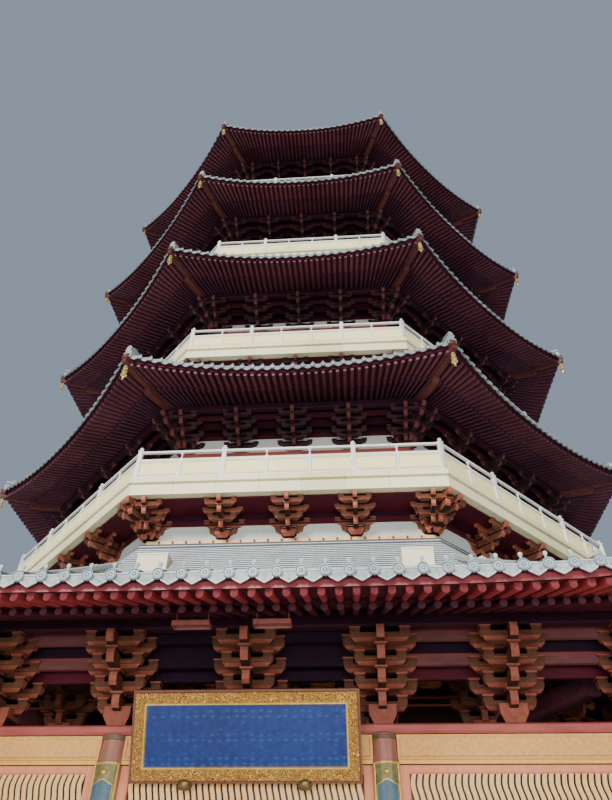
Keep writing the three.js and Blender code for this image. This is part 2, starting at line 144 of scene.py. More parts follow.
def finish(name, dark, light, roughness=0.6, metal=0.0, grain=(1, 1, 1), fine=22.0, relief=0.25):
    """A weathered finish: two tones in broad patches and fine grain, which also gives the relief."""
    material, tree, shader = new_paint(name)
    place = place_on(tree)
    drawn = node(tree, "Mapping", {"Vector": place, "Scale": grain}).outputs["Vector"]
    patches = node(tree, "TexNoise", {"Vector": place, "Scale": 1.1, "Detail": 5.0}).outputs["Fac"]
    specks = node(tree, "TexNoise", {"Vector": drawn, "Scale": fine, "Detail": 4.0}).outputs["Fac"]
    worn = maths(tree, "MULTIPLY", maths(tree, "ADD", patches, specks), 0.5)
    tree.links.new(tones(tree, worn, (0.36, *dark), (0.64, *light)), shader["Base Color"])
    rough = node(tree, "MapRange", {"Value": specks, "To Min": roughness - 0.08, "To Max": roughness + 0.12})
    tree.links.new(rough.outputs[0], shader["Roughness"])
    shader["Metallic"].default_value = metal
    raised_by(tree, specks, relief, 0.01)
    return material


def matt(material):
    """Takes most of the sheen off a weathered dark paint."""
    material.node_tree.nodes["Principled BSDF"].inputs["Specular IOR Level"].default_value = 0.15
    return material


def patterned(material, pattern, factor=1.0, way="MULTIPLY"):
    """Lays a pattern of tones over a finish's own colour."""
    tree = material.node_tree
    colour = tree.nodes["Principled BSDF"].inputs["Base Color"]
    mix = node(tree, "Mix", {"Factor": factor, 6: colour.links[0].from_socket}, data_type="RGBA",
               blend_type=way)
    if isinstance(pattern, bpy.types.NodeSocket):
        tree.links.new(pattern, mix.inputs[7])
    else:
        mix.inputs[7].default_value = (*pattern, 1)
    tree.links.new(mix.outputs[2], colour)


def paint(piece, *materials):
    piece.data.materials.clear()
    for material in materials:
        piece.data.materials.append(material)
    return piece


granite = finish("grey_granite", (0.3, 0.29, 0.27), (0.5, 0.48, 0.45), 0.75, fine=60.0)
slabs = node(granite.node_tree, "TexBrick", {
    "Vector": place_on(granite.node_tree), "Scale": 1.0, "Mortar Size": 0.006, "Brick Width": 0.9,
    "Row Height": 0.45, "Color1": (1, 1, 1, 1), "Color2": (0.82, 0.82, 0.84, 1),
    "Mortar": (0.35, 0.34, 0.33, 1),
})
patterned(granite, slabs.outputs["Color"])
paint(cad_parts["stone_plinth"], granite)

# The inner wall of the ground storey, which carries the tower: stout upright boards on a timber frame,
# painted dark maroon, with a doorway on each of the four main sides.
wall_maroon = finish("inner_wall_maroon", (0.05, 0.018, 0.022), (0.1, 0.036, 0.038), 0.6, grain=(3, 3, 0.2))
paint(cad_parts["core_wall"], wall_maroon)

# The ground storey's columns: round timber, painted red-brown and tapered, each on a turned stone
# drum and under a turned collar. Three stand on each face, and the corner ones are shared.
PORCH = 15.84  # from the axis to the centre line of a face's columns
EDGE = math.tan(math.pi / 8)  # half a face's width, as a share of its distance from the axis
TO_CORNER = 1 / math.cos(math.pi / 8)
CORNER_X = PORCH * EDGE
FLOOR = 0.45
BAY = 4.52
SIDES = ["front", "front_right", "right", "back_right", "back", "back_left", "left", "front_left"]


def alone(piece):
    """Selects one piece and nothing else."""
    bpy.ops.object.select_all(action="DESELECT")
    piece.select_set(True)
    bpy.context.view_layer.objects.active = piece
    return piece


def open_up(piece, kind="FACE", wanted=lambda part: True):
    """Enters edit mode with only the wanted faces, edges or points selected."""
    alone(piece)
    bpy.ops.object.mode_set(mode="EDIT")
    bpy.ops.mesh.select_mode(type=kind)
    bpy.ops.mesh.select_all(action="DESELECT")
    mesh = bmesh.from_edit_mesh(piece.data)
    for part in {"VERT": mesh.verts, "EDGE": mesh.edges, "FACE": mesh.faces}[kind]:
        if wanted(part):
            part.select_set(True)
    bmesh.update_edit_mesh(piece.data)


def close_up(piece=None):
    bpy.ops.object.mode_set(mode="OBJECT")
    return piece


def round_off(piece, degrees=40):
    """Shades the curved faces of a turned or bent piece smooth."""
    alone(piece)
    bpy.ops.object.shade_smooth_by_angle(angle=math.radians(degrees))
    return piece


def begun(add, **measures):
    """Starts a piece from a plain block, bar or disc."""
    bpy.ops.object.select_all(action="DESELECT")
    add(**measures)
    bpy.ops.object.transform_apply()
    return bpy.context.object


def turned(profile, sides, x=0.0, y=0.0):
    """A piece turned on a lathe: a ring of [radius, height] points for each step of its profile."""
    radius, height = profile[0]
    piece = begun(bpy.ops.mesh.primitive_circle_add, vertices=sides, radius=radius, location=(x, y, height),
                  fill_type="NGON")
    open_up(piece)
    for next_radius, next_height in profile[1:]:
        bpy.ops.mesh.extrude_region_move(TRANSFORM_OT_translate={"value": (0, 0, next_height - height)})
        share = next_radius / radius
        bpy.ops.transform.resize(value=(share, share, 1), center_override=(x, y, next_height))
        radius, height = next_radius, next_height
    bpy.ops.mesh.select_all(action="SELECT")
    bpy.ops.mesh.normals_make_consistent(inside=False)
    return close_up(piece)


def join(parts):
    """Joins finished parts into one piece."""
    bpy.ops.object.select_all(action="DESELECT")
    for part in parts:
        part.select_set(True)
    bpy.context.view_layer.objects.active = parts[0]
    if len(parts) > 1:
        bpy.ops.object.join()
    return parts[0]


def copies(piece, places):
    """Copies a piece to each place, each copy with its own mesh, and joins them; the first is used up."""
    made = []
    for place in places:
        copy = bpy.data.objects.new(piece.name, piece.data.copy())
        copy.data.transform(place)
        bpy.context.scene.collection.objects.link(copy)
        made.append(copy)
    bpy.data.objects.remove(piece)
    return join(made)


def move(x=0.0, y=0.0, z=0.0):
    return Matrix.Translation((x, y, z))


def turn(degrees, axis="Z"):
    return Matrix.Rotation(math.radians(degrees), 4, axis)


def row_of(piece, xs, y=0.0, z=0.0):
    return copies(piece, [move(x, y, z) for x in xs])


def round_the_tower(piece, first=0, step=1):
    """Copies what is made for the front face to the other faces."""
    return copies(piece, [turn(45 * side) for side in range(first, 8, step)])


def settle(piece, name, slot, *cad_nodes):
    """Names a finished piece, halves it to the model's size and puts it on the tower."""
    piece.name = name
    piece.data.name = name
    piece.data.transform(Matrix.Scale(0.5, 4))
    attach(piece, "root")
    if cad_nodes:
        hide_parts(*cad_nodes)
    return piece


def put_round(parts, material, name, slot, *cad_nodes, **faces):
    """Joins and paints the parts made for the front face, and puts them on every face or on some."""
    return settle(round_the_tower(paint(join(parts), material), **faces), name, slot, *cad_nodes)


column_paint = finish("column_paint", (0.28, 0.11, 0.08), (0.5, 0.23, 0.165), 0.32, grain=(1, 1, 0.15))
collar_bronze = finish("collar_bronze", (0.1, 0.07, 0.035), (0.2, 0.14, 0.08), 0.5)
for name, slot, material, profile in (
    ("ground_columns", "red_timber", column_paint,
     [[0.235, 0.62], [0.235, 0.7], [0.226, 2.4], [0.222, 3.9], [0.2, 4.35]]),
    ("column_drums", "grey_stone", granite,
     [[0.36, FLOOR], [0.36, 0.5], [0.33, 0.53], [0.35, 0.58], [0.27, 0.64]]),
    ("column_collars", "red_timber", collar_bronze,
     [[0.208, 4.27], [0.222, 4.28], [0.222, 4.31], [0.232, 4.32], [0.232, 4.345]]),
):
    column_row = row_of(round_off(turned(profile, 20)), (-CORNER_X, -BAY / 2, BAY / 2), -PORCH)
    put_round([column_row], material, name, slot,
              *[f"porch_wall_{side}" for side in SIDES if name == "ground_columns"])

# The lintels between the columns: deep tan panels with a moulded face and a gilt fillet along the
# foot. The red tie beam lies on them and on the columns, right round the porch.
tan_paint = finish("tan_lintel_paint", (0.7, 0.34, 0.08), (0.95, 0.53, 0.16), 0.45, fine=34.0, relief=0.12)
gilt_edge = finish("gilt_edge", (0.62, 0.4, 0.07), (0.85, 0.6, 0.16), 0.35, 0.4)
fillet_gilt = finish("fillet_gilt", (0.85, 0.42, 0.05), (1.0, 0.6, 0.11), 0.4, 0.1)
tie_red = finish("tie_beam_red", (0.32, 0.06, 0.05), (0.48, 0.115, 0.095), 0.42, grain=(0.2, 0.2, 1))
# Near black for beam undersides: painted shade.
shadow_brown = finish("beam_underside_painted_shade", (0.03, 0.012, 0.008), (0.06, 0.025, 0.015), 0.6)
HEAD, LINTEL_FOOT, LINTEL_TOP = 3.91, 3.985, 4.345
TIE_FOOT, TIE_TOP = 4.35, 4.5


def timber(low, high):
    """A squared piece from one corner to the other, before it is shaped."""
    low, high = Vector(low), Vector(high)
    return begun(bpy.ops.mesh.primitive_cube_add, size=1, location=(low + high) / 2, scale=high - low)


def octagon_ring(section):
    """A ring round the tower, drawn by a closed section of [half, height] points."""
    half, height = section[0]
    piece = begun(bpy.ops.mesh.primitive_circle_add, vertices=8, radius=half * TO_CORNER,
                  location=(0, 0, height), rotation=(0, 0, math.pi / 8))
    open_up(piece, "EDGE")
    for next_half, next_height in [*section[1:], section[0]]:
        bpy.ops.mesh.extrude_edges_move(TRANSFORM_OT_translate={"value": (0, 0, next_height - height)})
        share = next_half / half
        bpy.ops.transform.resize(value=(share, share, 1), center_override=(0, 0, next_height))
        half, height = next_half, next_height
    bpy.ops.mesh.select_all(action="SELECT")
    bpy.ops.mesh.remove_doubles(threshold=0.0005)
    bpy.ops.mesh.normals_make_consistent(inside=False)
    return close_up(piece)


def in_front(face):
    return face.normal.y < -0.9


def on_top(face):
    return face.normal.z > 0.9


def underneath(face):
    return face.normal.z < -0.9


def bordered(piece, wanted, *borders, each=False):
    """Cuts borders into the wanted faces, each given as its width and how far its inside is raised."""
    open_up(piece, "FACE", wanted)
    for width, lift in borders:
        bpy.ops.mesh.inset(thickness=width, depth=lift, use_individual=each)
    return close_up(piece)


def eased(piece, wanted, width, segments=2, **cut):
    """Takes the wanted edges off, round or chamfered."""
    open_up(piece, "EDGE", wanted)
    bpy.ops.mesh.bevel(offset=width, segments=segments, affect="EDGES", **cut)
    return close_up(piece)


def paint_by(piece, number):
    """Gives each face the paint whose number is worked out from the face."""
    for face in piece.data.polygons:
        face.material_index = int(number(face))
    return piece


def paint_underside_shade(piece):
    """Paints the undersides of the beams nearly black, as painted shade."""
    piece.data.materials.append(shadow_brown)
    return paint_by(piece, underneath)


bays = [(-CORNER_X, -BAY / 2), (-BAY / 2, BAY / 2), (BAY / 2, CORNER_X)]
lintels, fillets = [], []
for left, right in bays:
    lintel = timber((left + 0.2, -PORCH - 0.11, LINTEL_FOOT), (right - 0.2, -PORCH + 0.11, LINTEL_TOP))
    lintels.append(bordered(lintel, in_front, (0.035, 0.0), (0.02, -0.02)))
    fillet = timber((left + 0.2, -PORCH - 0.135, HEAD), (right - 0.2, -PORCH + 0.12, LINTEL_FOOT))
    fillets.append(eased(fillet, lambda edge: all(v.co.y < -PORCH for v in edge.verts), 0.02))
put_round(lintels, tan_paint, "ground_lintels", "tan_timber")
# The fillets' undersides are painted near black, as painted shade.
fillets = paint_underside_shade(paint(join(fillets), fillet_gilt))
settle(round_the_tower(fillets), "lintel_fillets", "gilt")
tie_beam = octagon_ring([[15.7, TIE_FOOT], [15.99, TIE_FOOT], [16.02, 4.38], [16.02, 4.47], [15.99, TIE_TOP],
                         [15.7, TIE_TOP]])
# The tie beam's underside is painted near black, as painted shade.
settle(paint_underside_shade(paint(tie_beam, tie_red)), "tie_beam", "red_timber")

# The transom lights over the doors: a salmon frame filled with wavy cream slats, set upright side by
# side in front of dark glass. Each slat is sawn to one slow wave.
salmon = finish("salmon_frame_paint", (0.74, 0.25, 0.12), (0.95, 0.37, 0.19), 0.45, grain=(1, 1, 0.3))
cream = finish("cream_slat_paint", (1.0, 0.54, 0.2), (1.0, 0.74, 0.34), 0.45, fine=30.0)
dark_glass = finish("dark_glass", (0.06, 0.022, 0.01), (0.11, 0.042, 0.016), 0.3, relief=0.02)
DOOR_TOP, LIGHT_FOOT, LIGHT_TOP = 3.2, 3.3, 3.79
SLAT_WIDTH, SLAT_PITCH, SLAT_WAVE = 0.068, 0.1, 0.022


def running(axis, least=1.0):
    """Picks the edges that run more than a length along an axis: 0 is x, 1 is y and 2 is z."""
    return lambda edge: abs(edge.verts[0].co[axis] - edge.verts[1].co[axis]) > least


def divided(piece, kind, wanted, cuts):
    open_up(piece, kind, wanted)
    bpy.ops.mesh.subdivide(number_cuts=cuts)
    return close_up(piece)


slats, transom_frames, transom_glass = [], [], []
for left, right in bays:
    inner_left, inner_right = left + 0.36, right - 0.36
    slat = timber((inner_left + 0.03, -PORCH - 0.05, LIGHT_FOOT - 0.01),
                  (inner_left + 0.03 + SLAT_WIDTH, -PORCH - 0.02, LIGHT_TOP + 0.01))
    divided(slat, "EDGE", running(2, 0.1), 6)
    for point in slat.data.vertices:
        point.co.x += SLAT_WAVE * math.sin((point.co.z - LIGHT_FOOT) / 0.46 * 2 * math.pi)
    row = slat.modifiers.new("row", "ARRAY")
    row.use_relative_offset = False
    row.use_constant_offset = True
    row.count = int((inner_right - inner_left - 0.06) / SLAT_PITCH)
    row.constant_offset_displace = ((inner_right - inner_left - 0.06 - SLAT_WIDTH) / (row.count - 1), 0, 0)
    alone(slat)
    bpy.ops.object.modifier_apply(modifier="row")
    slats.append(slat)
    for start, end, foot, top, half in (
        (left + 0.2, inner_left, DOOR_TOP, HEAD, 0.07), (inner_right, right - 0.2, DOOR_TOP, HEAD, 0.07),
        (inner_left, inner_right, LIGHT_TOP, HEAD, 0.065),
        (inner_left, inner_right, DOOR_TOP, LIGHT_FOOT, 0.065),
    ):
        rail = timber((start, -PORCH - half, foot), (end, -PORCH + half, top))
        transom_frames.append(bordered(rail, in_front, (0.03, -0.012)))
    transom_glass.append(timber((inner_left, -PORCH + 0.02, LIGHT_FOOT),
                                (inner_right, -PORCH + 0.05, LIGHT_TOP)))
put_round(slats, cream, "transom_slats", "tan_timber")
put_round(transom_frames, salmon, "transom_frames", "tan_timber")
put_round(transom_glass, dark_glass, "transom_glass", "tan_timber")

# The folding door leaves under the transoms: a framed lattice above, a small panel and a fielded
# panel below. Four leaves fill a closed bay; the middle bay of each main face is left open.
SILL_TOP = 0.56
MID_RAIL = 0.38  # how far up a leaf its small panel starts, as a share of its height
LEAVES = 4


def front_or_back(face):
    return abs(face.normal.y) > 0.9


def door_leaf(width, foot, top):
    """One leaf, its left edge on x = 0 and its middle on y = 0."""
    middle = foot + MID_RAIL * (top - foot)
    leaf = divided(timber((0.008, -0.035, foot), (width - 0.008, 0.035, top)), "EDGE", running(2, 0.1), 2)
    for point in leaf.data.vertices:
        if foot + 0.01 < point.co.z < top - 0.01:
            point.co.z = middle if point.co.z < (foot + top) / 2 else middle + 0.34
    return bordered(leaf, front_or_back, (0.07, 0.0), (0.012, -0.022), each=True)


def leaf_lattice(width, foot, top):
    """The upright and level bars over a leaf's upper panel."""
    foot += MID_RAIL * (top - foot) + 0.41
    top -= 0.07
    uprights = row_of(timber((0.09, -0.034, foot), (0.108, -0.016, top)), np.linspace(0, width - 0.198, 8))
    level_bar = timber((0.07, -0.03, foot), (width - 0.07, -0.014, foot + 0.018))
    tall = top - foot
    heights = [0.06, 0.12, tall / 2 - 0.03, tall / 2 + 0.03, tall - 0.14, tall - 0.08]
    return join([uprights, copies(level_bar, [move(0, 0, z) for z in heights])])


leaves, lattices, door_sills = [], [], []
for left, right in bays:
    width = (right - left - 0.46) / LEAVES
    leaf_xs = [left + 0.23 + i * width for i in range(LEAVES)]
    leaves.append(row_of(door_leaf(width, SILL_TOP, DOOR_TOP), leaf_xs, -PORCH))
    lattices.append(row_of(leaf_lattice(width, SILL_TOP, DOOR_TOP), leaf_xs, -PORCH))
    door_sills.append(timber((left + 0.2, -PORCH - 0.09, FLOOR), (right - 0.2, -PORCH + 0.09, SILL_TOP)))
middle_bay = [join([leaves.pop(1), lattices.pop(1), door_sills.pop(1)])]
side_leaves = round_the_tower(paint(join(leaves), salmon))
put_round(lattices, cream, "door_lattices", "tan_timber")
put_round(door_sills, granite, "door_sills", "grey_stone")
closed_bays = round_the_tower(paint(join(middle_bay), salmon), first=1, step=2)
settle(join([side_leaves, closed_bays]), "door_leaves", "tan_timber")
jambs = []
for side in (-1, 1):
    for x, across, deep in ((1.79, 0.26, 0.035), (1.44, 0.09, 0.08)):
        jamb = timber((side * x - across, -PORCH - deep, FLOOR),
                      (side * x + across, -PORCH + deep, DOOR_TOP))
        jambs.append(bordered(jamb, front_or_back, (0.05, -0.015), each=True))
put_round(jambs, salmon, "door_jambs", "tan_timber", step=2)

# The name board over the entrance: blue lacquer with a faint cloud pattern in a carved, gilded
# frame. It leans out over the doors on two arms, and two bronze cramps hold its lower edge.
BOARD_WIDTH, BOARD_HEIGHT, BOARD_FOOT, BOARD_LEAN = 3.7, 1.34, 3.63, 0.41
board_place = move(0.03, -PORCH - 0.26, BOARD_FOOT) @ Matrix.Rotation(BOARD_LEAN, 4, "X")
board_blue = finish("board_blue_lacquer", (0.0005, 0.016, 0.13), (0.0015, 0.036, 0.24), 0.4, relief=0.05)
board_tree = board_blue.node_tree
board_at = node(board_tree, "Mapping", {"Vector": place_on(board_tree), "Scale": (1.0, 1.0, 1.7)}).outputs[0]
clouds = node(board_tree, "TexVoronoi", {"Vector": board_at, "Scale": 15.0, "Randomness": 0.3},
              feature="SMOOTH_F1").outputs["Distance"]
cloud_lines = tones(board_tree, clouds, (0.16, 1, 1, 1), (0.34, 0, 0, 0))
patterned(board_blue, (0.012, 0.1, 0.36), maths(board_tree, "MULTIPLY", cloud_lines, 0.6), "MIX")

carved_gilt, carving, carving_shader = new_paint("carved_gilt")
carving_at = place_on(carving)
swirled = node(carving, "TexNoise", {"Vector": carving_at, "Scale": 13.0, "Detail": 1.0}).outputs["Color"]
bent = node(carving, "VectorMath", {0: swirled, 1: carving_at}, operation="ADD").outputs[0]
petals = node(carving, "TexVoronoi", {"Vector": bent, "Scale": 17.0}, feature="DISTANCE_TO_EDGE")
leafage = node(carving, "TexVoronoi", {"Vector": carving_at, "Scale": 44.0})
raised = maths(carving, "MULTIPLY", petals.outputs["Distance"], leafage.outputs["Distance"])
gilding = tones(carving, raised, (0.0, 0.07, 0.006, 0.004), (0.03, 0.26, 0.09, 0.016),
                (0.075, 0.85, 0.52, 0.11))
carving.links.new(gilding, carving_shader["Base Color"])
carving_shader["Roughness"].default_value = 0.38
carving_shader["Metallic"].default_value = 0.35
raised_by(carving, raised, 0.9, 0.02)
board_brown = finish("board_edge_brown", (0.12, 0.04, 0.02), (0.22, 0.08, 0.04), 0.45)


def brush(piece, number, *borders):
    """Paints the selected faces, and then cuts borders into them."""
    piece.active_material_index = number
    bpy.ops.object.material_slot_assign()
    for width, lift in borders:
        bpy.ops.mesh.inset(thickness=width, depth=lift)


board = timber((-BOARD_WIDTH / 2, -0.04, 0), (BOARD_WIDTH / 2, 0.1, BOARD_HEIGHT))
paint(board, board_brown, carved_gilt, gilt_edge, board_blue)
open_up(board, "FACE", in_front)
bpy.ops.mesh.inset(thickness=0.03, depth=0.0)
bpy.ops.mesh.inset(thickness=0.012, depth=0.02)
brush(board, 1, (0.15, -0.012))
brush(board, 2, (0.012, 0.012), (0.016, 0.0), (0.012, -0.03))
brush(board, 3)
close_up()
board.data.transform(board_place)
settle(board, "entrance_board", "board_lacquer", "name_board")
bronze = finish("cast_bronze", (0.12, 0.085, 0.035), (0.26, 0.2, 0.1), 0.42, 0.8)
cramps = []
for x in (-0.95, 0.95):
    knob = [[0.03, -0.12], [0.1, -0.1], [0.12, -0.04], [0.1, 0.02], [0.05, 0.05], [0.02, 0.06]]
    cramp = round_off(turned(knob, 12))
    cramp.data.transform(move(x, 0, 0.02) @ Matrix.Diagonal((1, 1.1, 1, 1)))
    cramps += [cramp, timber((x - 0.07, 0.02, 0.33), (x + 0.07, 0.5, 0.42))]
cramps = paint(join(cramps), bronze)
cramps.data.transform(board_place)
settle(cramps, "board_cramps", "gilt")

# The two couplet boards: thin lacquered boards bent round the front of the entrance columns, with a
# gilt frame, a blue-grey field under an arched top, and a gilt pearl in the arch. They bear no text.
field_blue = finish("couplet_field_blue", (0.05, 0.12, 0.17), (0.11, 0.2, 0.26), 0.45)
couplet_green = finish("couplet_gold_green", (0.12, 0.13, 0.05), (0.34, 0.3, 0.12), 0.45, 0.3)
COUPLET_WIDTH, COUPLET_FOOT, COUPLET_TOP, COUPLET_BEND = 0.44, 1.6, 3.93, 0.25
ARCH_FOOT, ARCH_HALF, PEARL_HEIGHT = 3.62, 0.17, 3.79


def sawn(piece, place, across, **kept):
    """Saws through a whole piece, which stays in one unless a side is cleared."""
    open_up(piece)
    bpy.ops.mesh.bisect(plane_co=place, plane_no=across, **kept)
    return close_up(piece)


couplets = []
for side in (-1, 1):
    sheet = timber((-COUPLET_WIDTH / 2, -0.02, COUPLET_FOOT), (COUPLET_WIDTH / 2, 0.015, COUPLET_TOP))
    paint(sheet, gilt_edge, couplet_green, field_blue)
    open_up(sheet, "FACE", in_front)
    bpy.ops.mesh.inset(thickness=0.022, depth=0.0)
    bpy.ops.mesh.inset(thickness=0.008, depth=-0.01)
    brush(sheet, 1)
    close_up()
    field = timber((-ARCH_HALF, -0.022, COUPLET_FOOT + 0.05), (ARCH_HALF, -0.008, ARCH_FOOT))
    divided(field, "FACE", on_top, 7)
    for point in field.data.vertices:
        if point.co.z > ARCH_FOOT - 0.01:
            point.co.z += 0.07 * math.cos(point.co.x / ARCH_HALF * math.pi / 2) ** 2
    paint(field, gilt_edge, field_blue)
    open_up(field, "FACE", in_front)
    bpy.ops.mesh.inset(thickness=0.014, depth=0.0)
    brush(field, 1)
    close_up()
    pearl = begun(bpy.ops.mesh.primitive_uv_sphere_add, segments=12, ring_count=8, radius=0.045,
                  location=(0, -0.02, PEARL_HEIGHT))
    open_up(pearl, "VERT", lambda point: point.co.z > PEARL_HEIGHT + 0.025)
    bpy.ops.transform.resize(value=(0.5, 0.6, 1.0), center_override=(0, -0.02, PEARL_HEIGHT))
    close_up()
    couplet = join([sheet, field, paint(pearl, gilt_edge)])
    for x in (0, -0.16, -0.08, 0.08, 0.16):
        sawn(couplet, (x, 0, 0), (1, 0, 0))
    for point in couplet.data.vertices:
        angle = point.co.x / COUPLET_BEND
        reach = COUPLET_BEND - point.co.y
        point.co.x, point.co.y = reach * math.sin(angle), -reach * math.cos(angle)
    couplet.data.transform(move(side * BAY / 2, -PORCH))
    couplets.append(couplet)
settle(join(couplets), "couplet_boards", "gilt", "couplet_board_left", "couplet_board_right")

# The bracket sets under every eave and balcony: a flaring cap block, then tiers of boat-shaped arms
# that cross on blocks and step outwards, sawn from timber. Sides are brown, edges a warm orange-red.
# The porch's sets get darker copies of these paints, and the upper sets darker and bluer ones: painted
# shade.
arm_brown = finish("arm_side_paint", (0.11, 0.034, 0.018), (0.2, 0.07, 0.036), 0.65)
arm_orange = finish("arm_edge_paint", (0.24, 0.05, 0.026), (0.42, 0.115, 0.06), 0.65)
# Darker copies for the porch's sets, and darker, bluer ones for the upper sets: painted shade.
porch_brown = matt(finish("porch_arm_side_painted_shade", (0.075, 0.027, 0.014), (0.13, 0.052, 0.027), 0.65))
porch_orange = finish("porch_arm_edge_painted_shade", (0.18, 0.038, 0.022), (0.32, 0.088, 0.048), 0.65)
# Near black for the arms' undersides: painted shade.
arm_under = matt(finish("arm_underside_painted_shade", (0.02, 0.007, 0.006), (0.045, 0.015, 0.012), 0.7))
shade_brown = matt(finish("upper_arm_side_painted_shade", (0.02, 0.009, 0.014), (0.044, 0.02, 0.027), 0.5))
shade_red = matt(finish("upper_arm_edge_painted_shade", (0.085, 0.022, 0.024), (0.17, 0.052, 0.048), 0.6))
ARM_SHARE = 0.8  # how much of a tier's height is arm; the rest is the block on it
ARM_THICK = 0.14
HORN = 0.17  # the raised end of an arm, under its block
NOSE = 0.3  # how far a set's last arm comes out
ARRIS = 0.011  # the painted chamfer along an arm's lower front edge


def two_tone(piece, brown_face, paints):
    """Paints the faces that brown_face picks brown, undersides darker still as painted shade, and the others
    orange-red.
    """
    paint(piece, *paints[:2], arm_under if paints[2] else paints[0])
    return paint_by(piece, lambda face: (
        2 if face.normal.z < -0.5 and abs(face.normal.y) < 0.3 else not brown_face(face.normal)))


def draw_out(shift, share=None, about=(0, 0, 0)):
    """Draws the selected faces out, and narrows or widens their end."""
    bpy.ops.mesh.extrude_region_move(TRANSFORM_OT_translate={"value": shift})
    if share:
        bpy.ops.transform.resize(value=share, center_override=about)


def bracket_block(x, y, foot, height, paints, width=0.2, flared=0.5):
    """A block that flares upwards below a square upper part."""
    rise = flared * height
    block = timber((x - width / 2, y - width / 2, foot), (x + width / 2, y + width / 2, foot + rise))
    open_up(block, "FACE", on_top)
    draw_out((0, 0, height - rise))
    close_up()
    open_up(block, "FACE", underneath)
    bpy.ops.transform.resize(value=(0.68, 0.68, 1), center_override=(x, y, foot))
    close_up()
    return two_tone(block, lambda normal: width < 0.3 and normal.z < -0.1, paints)


def arm_along(length, y, foot, height, paints):
    """A boat-shaped arm along the wall: rounded up at both ends, and hollowed on top between its horns."""
    deck = foot + 0.55 * height
    front = y - ARM_THICK / 2
    horn_starts = length / 2 - HORN
    arm = timber((-length / 2, front, foot), (length / 2, y + ARM_THICK / 2, deck))
    for x in (HORN - length / 2, horn_starts):
        sawn(arm, (x, 0, 0), (1, 0, 0))
    open_up(arm, "FACE", lambda face: on_top(face) and abs(face.calc_center_median().x) > horn_starts)
    draw_out((0, 0, foot + height - deck))
    close_up()
    open_up(arm)
    bpy.ops.mesh.dissolve_limited(angle_limit=0.02)
    close_up()
    eased(arm,
          lambda edge: all(abs(v.co.x) > length / 2 - 0.01 and v.co.z < foot + 0.01 for v in edge.verts),
          height * 0.8, 2 + paints[2], clamp_overlap=False)
    if paints[2]:
        eased(arm, lambda edge: all(v.co.y < front + 0.001 and v.co.z < deck for v in edge.verts), ARRIS, 1)
    return two_tone(arm, lambda normal: not 0.3 < abs(normal.y) < 0.9 and abs(normal.x) < 0.9, paints)


def nose_arm(reach, foot, height, paints, width=0.13):
    """An arm that steps out from the wall, its lower front end rounded up."""
    arm = timber((-width / 2, -reach, foot), (width / 2, 0.12, foot + height))
    eased(arm, lambda edge: all(v.co.y < 0.01 - reach and v.co.z < foot + 0.01 for v in edge.verts),
          height * 0.7, 2 + paints[2], clamp_overlap=False)
    return two_tone(arm, lambda normal: abs(normal.x) > 0.9, paints)


def bracket_set(cap, rise, step, tiers, paints):
    """One set, its foot on z = 0 and the wall's middle plane on y = 0."""
    parts = [bracket_block(0, 0, 0, 1.4 * cap, paints, 0.46, 0.45)]
    height = ARM_SHARE * rise
    for tier in range(tiers):
        foot = cap + tier * rise
        last = tier == tiers - 1
        arms = [(1.0 if last else 0.88, -tier * step)]
        if tier:
            arms.append((1.26, (1 - tier) * step))
        for length, y in arms:
            parts.append(arm_along(length, y, foot, height, paints))
            for side in (-1, 1):
                x = side * (length / 2 - HORN / 2)
                parts.append(bracket_block(x, y, foot + height, rise - height, paints, 0.19))
        parts.append(nose_arm(tier * step + (NOSE if last else step + 0.09), foot, height, paints))
        if not last:
            parts.append(bracket_block(0, -(tier + 1) * step, foot + height, rise - height, paints, 0.22))
    return join(parts)


def corner_noses(cap, rise, step, tiers, paints):
    """The arms on the diagonal of a corner, longer in step with the corner's angle."""
    parts = []
    height = ARM_SHARE * rise
    for tier in range(tiers):
        foot = cap + tier * rise
        last = tier == tiers - 1
        reach = TO_CORNER * (tier * step + (NOSE if last else step))
        parts.append(nose_arm(reach if last else reach + 0.1, foot, height, paints, 0.17))
        if not last:
            parts.append(bracket_block(0, -reach, foot + height, rise - height, paints, 0.25))
    return join(parts)


def tier_sizes(height, reach, tiers):
    """The cap's height, each tier's rise and step outwards, and how many tiers there are."""
    cap = 0.16 * height
    return cap, (height - cap) / tiers, reach / (tiers - 1), tiers


def ring_of_sets(name, half, foot, height, reach, tiers, places, paints, *cad_nodes):
    """The sets of one storey, with the tiers shared out over the height between plate and purlin."""
    sizes = tier_sizes(height, reach, tiers)
    sets = row_of(bracket_set(*sizes, paints), places, -half, foot)
    noses = corner_noses(*sizes, paints)
    noses.data.transform(turn(22.5) @ move(0, -half * TO_CORNER, foot))
    return settle(round_the_tower(join([sets, noses])), name, "red_timber", *cad_nodes)


